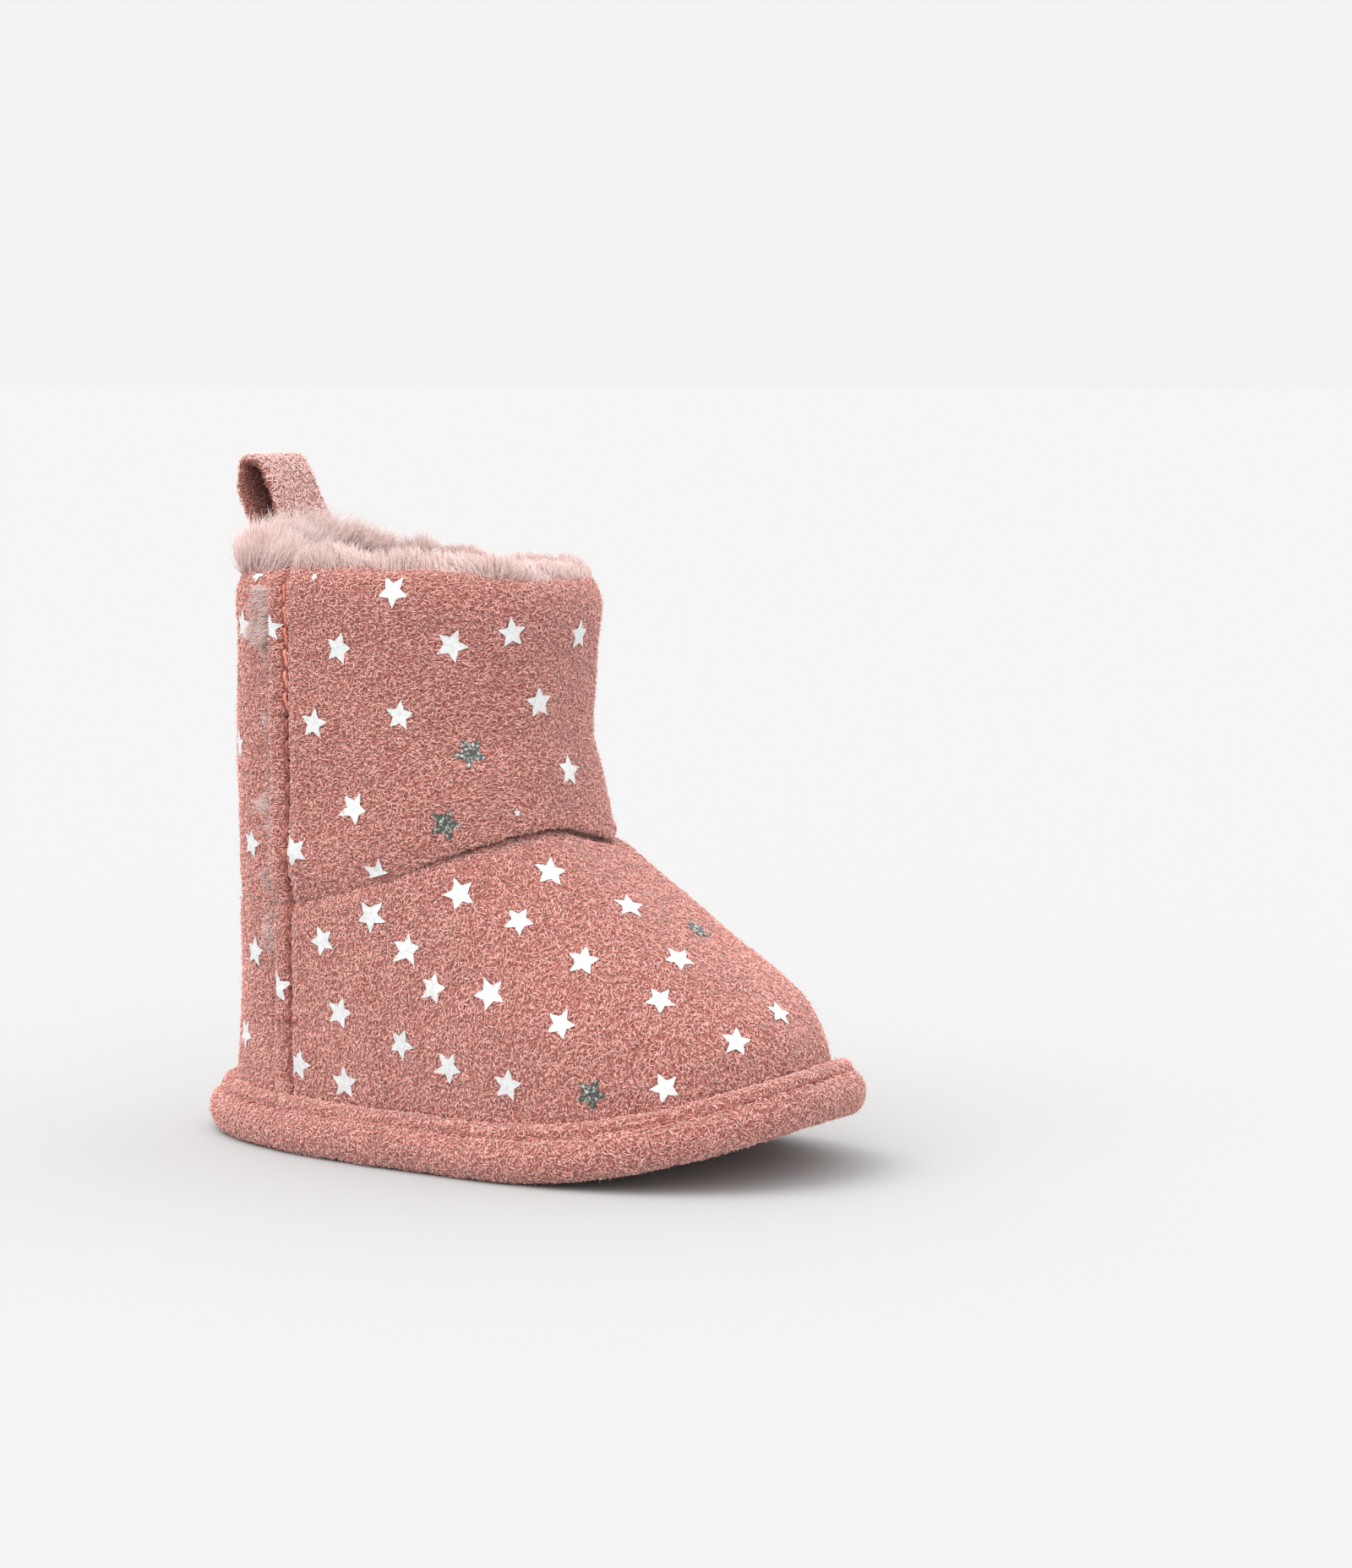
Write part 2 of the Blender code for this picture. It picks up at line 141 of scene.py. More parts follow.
# How deep the heel dips at each distance past the slit
HEEL_DIP = [(-8, 0.0), (-1, 1.1), (0.5, 2.7), (2.5, UNDERLAP_DEPTH / MM),
            (30, UNDERLAP_DEPTH / MM)]
FOIL = 0.1 * MM
RIM_FUR = [(-180, 9.5), (-165, 10.5), (-148, 7.6), (-125, 5.2), (-100, 4.4), (-60, 3.8),
           (0, 2.2), (60, 1.6), (110, 3.0), (140, 6.0), (160, 9.0), (180, 8.5)]
COLLAR_RADIUS = [(-180, 3.4), (-110, 2.8), (-60, 2.6), (0, 2.8), (60, 3.6), (120, 3.8),
                 (180, 3.4)]
LOOP_STRIP = 1.5 * MM
LOOP_PATH = [(0.85, -11.0), (0.85, -4.0), (0.4, 0.2), (-0.1, 3.4), (-1.7, 8.0), (-3.2, 12.0),
             (-4.9, 15.3), (-6.8, 17.1), (-8.8, 17.1), (-10.0, 15.5), (-10.1, 12.4), (-8.8, 8.8),
             (-6.0, 5.0), (-3.2, 2.6), (-1.4, 0.2), (-0.85, -4.0), (-0.85, -11.0)]
COLLAR_DEPTH = 2.6 * MM
SLIT_HAIRS = 9000
ROLL_SPOKES = 460
LAYER_SPOKES = 220
INSOLE_STEPS = 40
EDGE_STEPS = 3
LINE_POINTS, TACK_POINTS = 160, 52
TAPE_LOW, TAPE_HIGH = 53 * MM, 94 * MM

# ---- camera, light and colours

CAMERA_AZIMUTH = 30.0
CAMERA_BACK = 0.715
CAMERA_RIGHT = 0.02576
CAMERA_HEIGHT = 0.135
CAMERA_DOWN = 5.75
LENS, SENSOR = 95.9, 36.0
# Name, direction, strength, and how many degrees of the sky it fills
SUNS = [("key", (0.38, 0.45, -1.0), 1.5, 50), ("side", (-0.6, 0.9, -0.5), 0.55, 60),
        ("back", (0.9, -0.5, -0.6), 0.5, 60)]
HORIZON, SKY = (0.896, 0.896, 0.896), (1.62, 1.62, 1.62)
FLOOR_COLOUR = (0.43, 0.43, 0.43)
FLOOR_HALF = 20.0
SHEEN = {"Sheen Weight": 0.9, "Sheen Roughness": 0.45, "Sheen Tint": (1.0, 0.93, 0.91, 1.0),
         "Specular IOR Level": 0.15}
FOIL_METAL = 0.5
# Each material's two colours, from dark to light
COLOURS = {
    # suede: darker than the nap fibres on it, painted shade in the gaps between them; its grain is
    # the cloth's own
    "suede": ((0.20, 0.055, 0.045), (0.52, 0.19, 0.15)),
    "suede_nap": ((0.54, 0.17, 0.13), (1.0, 0.51, 0.435)),
    # The loop's nap: a lighter copy of the suede nap as a painted highlight on its outside, and a
    # darker copy as painted shade on its inside
    "loop_nap": ((0.78, 0.40, 0.35), (1.0, 0.74, 0.68)),
    "loop_inner_nap": ((0.30, 0.10, 0.08), (0.52, 0.23, 0.19)),
    "fur": ((0.77, 0.53, 0.49), (0.89, 0.73, 0.70)),
    "fur_pile": ((0.66, 0.41, 0.37), (0.77, 0.53, 0.49)),
    # thread: the coral thread darkened, painted shade where the stitches sink into the cloth
    "thread": ((0.26, 0.07, 0.055), (0.42, 0.14, 0.11)),
    "coral_thread": ((0.55, 0.14, 0.10), (0.78, 0.28, 0.22)),
    # Near-black spindles at the stitch ends: painted shade of the needle holes
    "needle_hole": ((0.05, 0.015, 0.012), (0.10, 0.03, 0.025)),
    "tape": ((0.50, 0.22, 0.19), (0.68, 0.36, 0.32)),
    "foam": ((0.60, 0.57, 0.50), (0.80, 0.78, 0.72)),
    "board": ((0.42, 0.34, 0.24), (0.62, 0.53, 0.40)),
    "silver_foil": ((0.66, 0.67, 0.67), (0.74, 0.75, 0.75)),
    # The dark foil: its dark colour is a painted reflection, its crinkles the foil's own
    "crinkled_foil": ((0.07, 0.075, 0.065), (0.6, 0.6, 0.58)),
}

random = np.random.default_rng(12)


# ---- curves and noise

def smooth(table, at):
    """A smooth curve through the (place, value) pairs, without overshoot."""
    places, values = np.array(table, float).T
    slope = np.diff(values) / np.diff(places)
    tangent = np.concatenate([[slope[0]], np.zeros(len(places) - 2), [slope[-1]]])
    for i in range(1, len(places) - 1):
        if slope[i - 1] * slope[i] > 0:
            tangent[i] = 2 * slope[i - 1] * slope[i] / (slope[i - 1] + slope[i])
    at = np.clip(at, places[0], places[-1])
    i = np.clip(np.searchsorted(places, at, side="right") - 1, 0, len(places) - 2)
    step = places[i + 1] - places[i]
    s = (at - places[i]) / step
    return ((2 * s**3 - 3 * s**2 + 1) * values[i] + (s**3 - 2 * s**2 + s) * step * tangent[i]
            + (3 * s**2 - 2 * s**3) * values[i + 1] + (s**3 - s**2) * step * tangent[i + 1])


def sized(table, height):
    """A profile table read at a height in metres, as metres."""
    return smooth(table, np.asarray(height) / MM) * MM


def signed_power(value, power):
    return np.sign(value) * np.abs(value) ** power


def bump(distance, width):
    """1 at distance 0, falling away over the width."""
    return np.exp(-((distance / width) ** 2))


def step_up(value, low, high):
    """A smooth rise from 0 at low to 1 at high."""
    s = np.clip((value - low) / (high - low), 0, 1)
    return s * s * (3 - 2 * s)


def wrapped(angle):
    """Degrees from -180 to 180."""
    return (np.degrees(angle) + 180) % 360 - 180


LATTICE = np.random.default_rng(5).uniform(-1, 1, (32, 32, 32))


def noise(points, size):
    """Soft noise from -1 to 1 with lumps of the given size."""
    place = np.asarray(points) / size + 16.5
    cell = np.floor(place).astype(int)
    s = place - cell
    s = s * s * (3 - 2 * s)
    total = 0
    for corner in np.ndindex(2, 2, 2):
        i = (cell + corner) % 32
        weight = np.prod(np.where(corner, s, 1 - s), axis=-1)
        total = total + weight * LATTICE[i[..., 0], i[..., 1], i[..., 2]]
    return total


def swirl(points, size):
    """A direction that wanders slowly, as tufts of fur do."""
    return np.stack([noise(points + k, size) for k in (0.1, 0.2, 0.3)], -1)


def unit(vectors):
    return vectors / np.maximum(np.linalg.norm(vectors, axis=-1, keepdims=True), 1e-12)


# ---- the upper's surface

def toe_spring(x):
    run = np.clip((x - TOE_SPRING_START) / (TOE_SPRING_END - TOE_SPRING_START), 0, 2)
    return TOE_SPRING * run**2


def foot_outline(angle, back, front, heel_half, ball_half):
    along = signed_power(np.cos(angle), 2 / OUTLINE_POWER)
    across = signed_power(np.sin(angle), 2 / OUTLINE_POWER)
    towards_ball = 0.5 + 0.5 * np.tanh((along - 0.05) * 2.2)
    x = (back + front) / 2 + (front - back) / 2 * along
    y = (heel_half + (ball_half - heel_half) * towards_ball) * across
    return x, y


def upper_point(angle, height):
    """The upper's plain surface: angle from the front centre, height above the sole."""
    x, y = foot_outline(angle, sized(BACK_PROFILE, height), sized(FRONT_PROFILE, height),
                        sized(HEEL_HALF_WIDTH, height), sized(BALL_HALF_WIDTH, height))
    return np.stack([x, y, height + toe_spring(x)], -1)


def upper_frame(angle, height):
    """The surface point, its outward normal, and how far a radian and a metre of height go."""
    turn, rise = np.radians(1.0), 0.5 * MM
    round_it = upper_point(angle + turn, height) - upper_point(angle - turn, height)
    up_it = upper_point(angle, height + rise) - upper_point(angle, height - rise)
    normal = np.cross(round_it, up_it)
    normal /= np.linalg.norm(normal, axis=-1, keepdims=True)
    return upper_point(angle, height), normal, round_it / (2 * turn), up_it / (2 * rise)


def angle_at(x, height):
    """The angle, 0 to pi, at which the upper has this x at this height."""
    back, front = sized(BACK_PROFILE, height), sized(FRONT_PROFILE, height)
    along = np.clip((x - (back + front) / 2) / ((front - back) / 2), -1, 1)
    return np.arccos(signed_power(along, OUTLINE_POWER / 2))


def seam_height(angle):
    return smooth(SEAM_HEIGHT, wrapped(angle)) * MM


def near_edge(line_x):
    """A panel end on the near side, along a line given as x at a height."""
    return lambda height: -angle_at(line_x(height), height)


def far_edge(offset):
    """A panel end at the far side's closed seam, this far in front of it."""
    return lambda height: angle_at(SLIT_X + offset + 0 * height, height)


def slit_x(height):
    return SLIT_X + 0 * height


def fold_x(height):
    """Where the flap's fold line crosses the near wall at this height."""
    return SLIT_X + FOLD_LEAN * np.clip(height - SLIT_BOTTOM, 0, None)


def underlap_x(height):
    """The heel panel's front edge: at the closed seam low down, beneath the flap higher up."""
    return SLIT_X - 0.15 * MM + UNDERLAP * step_up(height, SLIT_BOTTOM, SLIT_BOTTOM + 10 * MM)


def flap_rim(angle):
    """The shaft's rim, rounded off at the flap's corner."""
    from_edge = upper_point(angle, RIM_HEIGHT + 0 * angle)[..., 0] - SLIT_X
    corner = np.clip(1 - from_edge / (3.4 * MM), 0, 1) ** 2 * (angle < 0)
    return rim_height(angle) - 2.4 * MM * corner


def lining_start_x(height):
    """The shaft's lining starts clear of the underlap, and leaves the flap room to swing."""
    lower = np.maximum(underlap_x(height), fold_x(height)) + 1.6 * MM
    return lower + (underlap_x(height) + SWING_ROOM - lower) * step_up(height, 68 * MM, 73 * MM)


def constant(value):
    return lambda angle: np.full(np.shape(angle), value)


# ---- how the cloth lies

def cloth_waves(point):
    """The slow ups and downs of soft cloth over wadding, a nap's height below the CAD's face."""
    return -NAP_ROOM + 0.4 * MM * noise(point, 17 * MM) + 0.2 * MM * noise(point, 7 * MM)


def slit_edge_relief(point):
    """The folded edge stands up, and the stitches behind it pull the cloth down."""
    behind = point[..., 0] - SLIT_X
    near = point[..., 1] < 0
    pull = 0.75 + 0.25 * np.cos(2 * np.pi * point[..., 2] / STITCH_PITCH)
    return near * (0.9 * MM * bump(behind - 1.3 * MM, 1.8 * MM)
                   - 1.4 * MM * bump(behind - STITCH_INSET, 0.65 * MM) * pull
                   + 0.35 * MM * bump(behind - STITCH_INSET - 2.2 * MM, 1.6 * MM))


def rim_height(angle):
    """The top edge, a little higher over the near side."""
    return RIM_HEIGHT + smooth(RIM_RISE, wrapped(angle)) * MM


def rolled_rim(angle, height):
    """The collar swells a little, then curls in at its top edge."""
    below = rim_height(angle) - height
    return (0.4 * MM * bump(below - 6 * MM, 3.5 * MM)
            - 1.5 * MM * np.clip(1 - below / (3.4 * MM), 0, 1.2) ** 2)


def shaft_relief(angle, height, point):
    """How far the shaft's cloth stands out: puffed above the seam, rolled at the rim."""
    above = height - seam_height(angle)
    front = np.clip(np.cos(angle), 0, 1)
    puff = 0.9 * MM * bump(above - 6.0 * MM, 6.0 * MM) - 0.9 * MM * front * bump(above, 7 * MM)
    tuck = -0.5 * MM * bump(above, 1.6 * MM)
    return (puff + tuck + rolled_rim(angle, height) + cloth_waves(point)
            + slit_edge_relief(point))


def vamp_relief(angle, height, point):
    """How far the vamp's cloth stands out: tucked under the shaft, creased, and folded low down."""
    below = seam_height(angle) - height
    front = np.clip(np.cos(angle), 0, 1)
    crease = step_up(np.cos(angle), -0.1, 0.7)
    tuck = (-(0.85 * FABRIC + 1.2 * MM * crease) * step_up(-below, -3.2 * MM, VAMP_TUCK - 1.0 * MM)
            - 0.9 * MM * crease * bump(below - 1.4 * MM, 2.6 * MM))
    folds = (0.35 * MM * bump(np.degrees(angle) + 94, 17) * bump(height - 21 * MM, 15 * MM)
             * np.cos(np.degrees(angle) * 0.75))
    instep = -1.5 * MM * front * bump(below - 4 * MM, 11 * MM)
    toe = -1.0 * MM * front**3 * bump(height - 14 * MM, 12 * MM)
    return tuck + instep + toe + folds + cloth_waves(point) + slit_edge_relief(point)


def heel_inset(angle, height):
    """The heel panel dips under the flap near the opening, which lies past angle pi."""
    x = upper_point(angle, height)[..., 0]
    opened = np.clip((height - 15 * MM) / (7 * MM), 0, 1)
    return np.where(angle > np.pi, smooth(HEEL_DIP, (x - SLIT_X) / MM) * MM * opened, 0.0)


def heel_relief(angle, height, point):
    beside_loop = np.where(point[..., 0] > SLIT_X, np.inf, np.abs(point[..., 1] - LOOP_PIVOT[1]))
    curl = 1 - step_up(12 * MM - beside_loop, 0, 4 * MM)
    return cloth_waves(point) + curl * rolled_rim(angle, height) - heel_inset(angle, height)


def heel_lining_inset(angle, height):
    """The lining lies behind the cloth, and makes room for the sewn end of the loop."""
    point = upper_point(angle, height)
    beside = np.abs(point[..., 1] - LOOP_PIVOT[1])
    sideways = step_up(14 * MM - beside, 0, 4.5 * MM)
    room = 3.4 * MM * sideways * step_up(height, 74 * MM, 80 * MM) * (point[..., 0] < SLIT_X)
    return LINING_DEPTH + room


# ---- mesh helpers

def new_object(name, data):
    obj = bpy.data.objects.new(name, data)
    bpy.context.scene.collection.objects.link(obj)
    return obj


def new_piece(name, points, faces, material):
    """A smooth mesh object from an (n, 3) array of points and arrays of face corners."""
    mesh = bpy.data.meshes.new(name)
    corners = np.concatenate([f.ravel() for f in faces]).astype(np.int32)
    sizes = np.concatenate([np.full(len(f), f.shape[1]) for f in faces])
    starts = np.concatenate([[0], np.cumsum(sizes)[:-1]]).astype(np.int32)
    mesh.vertices.add(len(points))
    mesh.vertices.foreach_set("co", np.asarray(points, np.float32).ravel())
    mesh.loops.add(len(corners))
    mesh.loops.foreach_set("vertex_index", corners)
    mesh.polygons.add(len(sizes))
    mesh.polygons.foreach_set("loop_start", starts)
    mesh.update(calc_edges=True)
    mesh.shade_smooth()
    mesh.materials.append(MATERIALS[material])
    return new_object(name, mesh)


def grid_faces(index, close_u=False, close_v=False):
    """Quads over a [u][v] grid of point numbers, facing along u x v."""
    if close_u:
        index = np.vstack([index, index[:1]])
    if close_v:
        index = np.hstack([index, index[:, :1]])
    quads = np.stack([index[:-1, :-1], index[1:, :-1], index[1:, 1:], index[:-1, 1:]], -1)
    return quads.reshape(-1, 4)


def fan_faces(ring):
    """Triangles from a ring's first point to its others."""
    return np.stack([np.full(len(ring) - 2, ring[0]), ring[1:-1], ring[2:]], -1)


def numbered(*shape):
    return np.arange(np.prod(shape)).reshape(shape)


def shell(name, outer, inner, material):
    """A closed shell between two grids that share their border."""
    number = numbered(*outer.shape[:2])
    inside = number.copy()
    inside[1:-1, 1:-1] = number.size + numbered(*inner[1:-1, 1:-1].shape[:2])
    points = np.concatenate([outer.reshape(-1, 3), inner[1:-1, 1:-1].reshape(-1, 3)])
    return new_piece(name, points, [grid_faces(number), grid_faces(inside)[:, ::-1]], material)


def strand_faces(rings, sides, pointed):
    """The quads and triangles of one strand: its rings' points, its tip, and its foot."""
    ring = numbered(rings, sides)
    last = np.append(ring[-1], ring[-1, 0])
    triangles = [[last[s], last[s + 1], rings * sides] for s in range(sides)]
    if pointed:
        triangles += [[(s + 1) % sides, s, rings * sides + 1] for s in range(sides)]
    else:
        triangles += [[0, s + 1, s] for s in range(1, sides - 1)]
    return grid_faces(ring.T, close_u=True), np.array(triangles)


def strands(name, paths, radii, material, sides=3):
    """Closed strands, each running along paths[strand] and tapering to its last point.

    With two more points than radii they are pointed at both ends. Big sets are split into
    several pieces. Returns the pieces.
    """
    count, rings = len(paths), radii.shape[1]
    pointed = paths.shape[1] == rings + 2
    direction = unit(paths[:, -1] - paths[:, 0])
    side = unit(np.cross(direction, [0.31, 0.52, 0.8]))
    other = np.cross(direction, side)
    turn = np.linspace(0, 2 * np.pi, sides, endpoint=False)[:, None]
    spread = np.cos(turn) * side[:, None, None, :] + np.sin(turn) * other[:, None, None, :]
    body = paths[:, int(pointed):-1, None, :] + spread * radii[..., None, None]
    ends = (paths[:, -1:], paths[:, :1]) if pointed else (paths[:, -1:],)
    points = np.concatenate([body.reshape(count, -1, 3), *ends], 1)
    kinds = [faces for faces in strand_faces(rings, sides, pointed) if len(faces)]
    each = STRAND_FACES // (2 * (rings - 1) * sides + len(kinds[-1]))
    shades = random.random(count)
    pieces = []
    for first in range(0, count, each):
        some = points[first:first + each]
        offset = (np.arange(len(some)) * some.shape[1])[:, None, None]
        faces = [(kind + offset).reshape(-1, kind.shape[1]) for kind in kinds]
        piece = new_piece(f"{name}_{len(pieces) + 1}", some.reshape(-1, 3), faces, material)
        shade = piece.data.attributes.new("shade", "FLOAT", "POINT")
        shade.data.foreach_set("value", np.repeat(shades[first:first + each], some.shape[1]))
        pieces.append(piece)
    return pieces


def grid_normals(grid):
    return unit(np.cross(np.gradient(grid, axis=0), np.gradient(grid, axis=1)))


def edge_spacing(length, spacing, fine):
    """Shares of a length, evenly spaced but closer together over the rolled ends."""
    end = np.array([0.0, 0.06, 0.22, 0.46, 0.75, 1.1]) * fine
    middle = np.linspace(1.6 * fine, length - 1.6 * fine, max(4, int(length / spacing)))
    return np.concatenate([end, middle, length - end[::-1]]) / length


def cell_areas(grid):
    across, along = grid[1:, :-1] - grid[:-1, :-1], grid[:-1, 1:] - grid[:-1, :-1]
    return np.linalg.norm(np.cross(across, along), axis=-1)


def scatter(grid, count, shares=None):
    """Random places on a grid surface, evenly by area: points and outward normals."""
    area = cell_areas(grid)
    if shares is not None:
        area = area * shares[:-1, :-1]
    chosen = random.choice(area.size, size=count, p=area.ravel() / area.sum())
    i, j = np.unravel_index(chosen, area.shape)
    u, v = random.random((2, count, 1))
    normals = grid_normals(grid)

    def between(values):
        return ((1 - u) * (1 - v) * values[i, j] + u * (1 - v) * values[i + 1, j]
                + u * v * values[i + 1, j + 1] + (1 - u) * v * values[i, j + 1])

    return between(grid), unit(between(normals))


# ---- materials

def new_material(name, roughness, sockets):
    """A material with one Principled shader. Returns it, its node tree and the shader."""
    material = bpy.data.materials.new(name)
    material.use_nodes = True
    shader = material.node_tree.nodes["Principled BSDF"]
    for socket, value in {"Roughness": roughness, **sockets}.items():
        shader.inputs[socket].default_value = value
    return material, material.node_tree, shader


def add_node(tree, kind, **inputs):
    """A shader node, its inputs set to numbers or joined to other nodes' outputs."""
    node = tree.nodes.new("ShaderNode" + kind)
    for name, value in inputs.items():
        if isinstance(value, bpy.types.NodeSocket):
            tree.links.new(value, node.inputs[name])
        else:
            node.inputs[name].default_value = value
    return node


def add_noise(tree, size, detail=2.0):
    """Noise with lumps of about this size, in metres, on the object's own coordinates."""
    place = add_node(tree, "TexCoord").outputs["Object"]
    scaled = add_node(tree, "Mapping", Vector=place, Scale=[1 / size] * 3).outputs["Vector"]
    return add_node(tree, "TexNoise", Vector=scaled, Scale=1.0, Detail=detail).outputs["Fac"]


def add_ramp(tree, value, low, high):
    """A colour ramp between two (place, colour) stops."""
    ramp = add_node(tree, "ValToRGB", Fac=value)
    for element, (place, colour) in zip(ramp.color_ramp.elements, (low, high)):
        element.position, element.color = place, (*colour, 1)
    return ramp.outputs["Color"]


def add_mottle(tree, shader, colour, shade):
    """Gives the shader the colour, slowly varied by multiplying it with a shade."""
    mix = tree.nodes.new("ShaderNodeMix")
    mix.data_type = "RGBA"
    mix.blend_type = "MULTIPLY"
    mix.inputs["Factor"].default_value = 1.0
    patches = add_ramp(tree, add_noise(tree, 14 * MM), (0.3, shade), (0.7, (1.0, 1.0, 1.0)))
    tree.links.new(colour, mix.inputs["A"])
    tree.links.new(patches, mix.inputs["B"])
    tree.links.new(mix.outputs["Result"], shader.inputs["Base Color"])


def add_bump(tree, shader, value, depth):
    bumps = add_node(tree, "Bump", Distance=depth, Height=value)
    tree.links.new(bumps.outputs["Normal"], shader.inputs["Normal"])


def fibre_material(name, grain, depth, roughness=0.9, sheen=()):
    """Short-fibred cloth: a grain from dark to light with bumps, sized in mm, and mottling."""
    material, tree, shader = new_material(name, roughness, dict(sheen))
    dark, light = COLOURS[name]
    fine = add_noise(tree, grain * MM, 3.0)
    add_mottle(tree, shader, add_ramp(tree, fine, (0.36, dark), (0.64, light)), (0.93, 0.91, 0.91))
    add_bump(tree, shader, fine, depth * MM)
    return material


def strand_material(name, roughness=0.9, sheen=()):
    """Fibres and hairs: each has a shade of its own between dark and light."""
    material, tree, shader = new_material(name, roughness, dict(sheen))
    dark, light = COLOURS[name]
    own = add_node(tree, "Attribute")
    own.attribute_name = "shade"
    colour = add_ramp(tree, own.outputs["Fac"], (0.0, dark), (1.0, light))
    add_mottle(tree, shader, colour, (0.95, 0.93, 0.93))
    return material


def foil_material(name, crinkle, depth, roughness, painted_reflection_shift):
    """Creased metal foil: the crinkles' size and depth are in mm. The last number moves the colour
    towards the dark one, for the dark foil's painted reflection.
    """
    material, tree, shader = new_material(name, roughness, {"Metallic": FOIL_METAL})
    dark_tone, bright = COLOURS[name]
    fine = add_noise(tree, crinkle * MM, 4.0)
    colour = add_ramp(tree, fine, (0.38 + painted_reflection_shift, dark_tone), (0.55 + painted_reflection_shift, bright))
    tree.links.new(colour, shader.inputs["Base Color"])
    add_bump(tree, shader, fine, depth * MM)
    return material


def make_materials():
    """Every material, by name."""
    cloths = {"suede": (0.4, 0.35, 0.9, SHEEN), "fur_pile": (1.6, 0.8, 0.9, SHEEN),
              "tape": (0.5, 0.1, 0.5), "foam": (0.8, 0.4), "board": (1.2, 0.1)}
    foils = {"silver_foil": (0.9, 0.06, 0.5, 0.0), "crinkled_foil": (0.55, 0.25, 0.3, 0.12)}
    fibres = {"suede_nap": (0.9, SHEEN), "loop_nap": (0.9, SHEEN), "fur": (0.9, SHEEN),
              "loop_inner_nap": (), "needle_hole": (), "thread": (0.6,), "coral_thread": (0.6,)}
    made = {name: fibre_material(name, *look) for name, look in cloths.items()}
    made.update({name: foil_material(name, *look) for name, look in foils.items()})
    made.update({name: strand_material(name, *look) for name, look in fibres.items()})
    made["pale_floor"], _, shader = new_material("pale_floor", 1.0, {"Specular IOR Level": 0.0})
    shader.inputs["Base Color"].default_value = (*FLOOR_COLOUR, 1)
    return made


MATERIALS = make_materials()


# ---- panels of the upper

class Panel:
    """A part of the upper: end angles at a height, edge heights at an angle, and relief."""

    def __init__(self, start, stop, low, high, relief):
        self.start, self.stop, self.low, self.high, self.relief = start, stop, low, high, relief

    def places(self, spacing, fine):
        """A grid of angles and heights over the panel, with each place's way to the edge."""
        middle = (self.low(np.array(0.0)) + self.high(np.array(0.0))) / 2
        span = np.linspace(self.start(middle), self.stop(middle), 60)
        wide = np.linalg.norm(np.diff(upper_point(span, middle), axis=0), axis=1).sum()
        tall = float(self.high(np.array(0.0)) - self.low(np.array(0.0)))
        across, up = np.meshgrid(edge_spacing(wide, spacing, fine),
                                 edge_spacing(tall, spacing, fine), indexing="ij")
        height = UPPER_BOTTOM + (RIM_HEIGHT - UPPER_BOTTOM) * up
        for _ in range(12):
            angle = self.start(height) + (self.stop(height) - self.start(height)) * across
            height = self.low(angle) + (self.high(angle) - self.low(angle)) * up
        point = upper_point(angle, height)
        wide = np.linalg.norm(np.diff(point, axis=0), axis=-1).sum(0)[None, :]
        tall = np.linalg.norm(np.diff(point, axis=1), axis=-1).sum(1)[:, None]
        edge = np.minimum(np.minimum(across, 1 - across) * wide, np.minimum(up, 1 - up) * tall)
        return angle, height, edge

    def level(self, angle, height, lift):
        """Points this far above the panel's relief."""
        point, normal, _, _ = upper_frame(angle, height)
        return point + normal * (self.relief(angle, height, point) + lift)[..., None]

    def held_in(self, angle, height, margin):
        """The place moved inside the panel's edges."""
        height = np.clip(height, self.low(angle) + margin, self.high(angle) - margin)
        turn = margin / (25 * MM)
        return np.clip(angle, self.start(height) + turn, self.stop(height) - turn), height

    def cloth(self, name, material, thickness, spacing, inset=0.0, pile=None):
        """The panel as a closed shell with rolled edges. Returns the piece and its two faces."""
        fine = thickness / 2
        angle, height, edge = self.places(spacing, fine)
        depth = inset(angle, height) if callable(inset) else np.full(angle.shape, inset)
        roll = fine * (1 - np.sqrt(np.clip(1 - (1 - np.clip(edge / fine, 0, 1))**2, 0, 1)))
        inner_roll = roll
        if pile is not None:
            lumps = pile(upper_point(angle, height)) * step_up(edge, 0, 3 * MM)
            inner_roll = roll - lumps
        outer = self.level(angle, height, -depth - roll)
        inner = self.level(angle, height, inner_roll - depth - thickness)
        return shell(name, outer, inner, material), outer, inner


def make_panels(vamp_start, shaft_start, gap, vamp_over, shaft_under, flap_top, heel_top):
    """The three panels of a layer, and how far vamp and shaft overlap at their seam."""
    bottom = constant(UPPER_BOTTOM)
    return {
        "vamp": Panel(near_edge(vamp_start), far_edge(gap), bottom,
                      lambda a: seam_height(a) + vamp_over, vamp_relief),
        "shaft": Panel(near_edge(shaft_start), far_edge(gap),
                       lambda a: seam_height(a) - shaft_under, flap_top, shaft_relief),
        "heel": Panel(far_edge(-gap), lambda h: 2 * np.pi + near_edge(underlap_x)(h), bottom,
                      heel_top, heel_relief),
    }


# ---- bodies

def with_boot(*pieces):
    for piece in pieces:
        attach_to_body(piece, "boot")


def with_flap(*pieces):
    """Bakes each piece's placement into its mesh."""
    for piece in pieces:
        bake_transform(piece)


def with_loop(*pieces):
    for piece in pieces:
        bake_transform(piece)


def finish(pieces, attach, replaced=()):
    """Hides the CAD parts the pieces replace, then hands the pieces to attach."""
    if replaced:
        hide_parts(*replaced)
    attach(*pieces)


# ---- stars

def star_reach(turn):
    """How far a five-pointed star of radius 1 reaches at a turn from one of its points."""
    a = np.abs((turn + np.radians(36)) % np.radians(72) - np.radians(36))
    waist, half = STAR_WAIST, np.radians(36)
    reach = (waist * np.sin(half)
             / (waist * np.sin(half) * np.cos(a) + (1 - waist * np.cos(half)) * np.sin(a)))
    return np.minimum(reach, STAR_TIP)


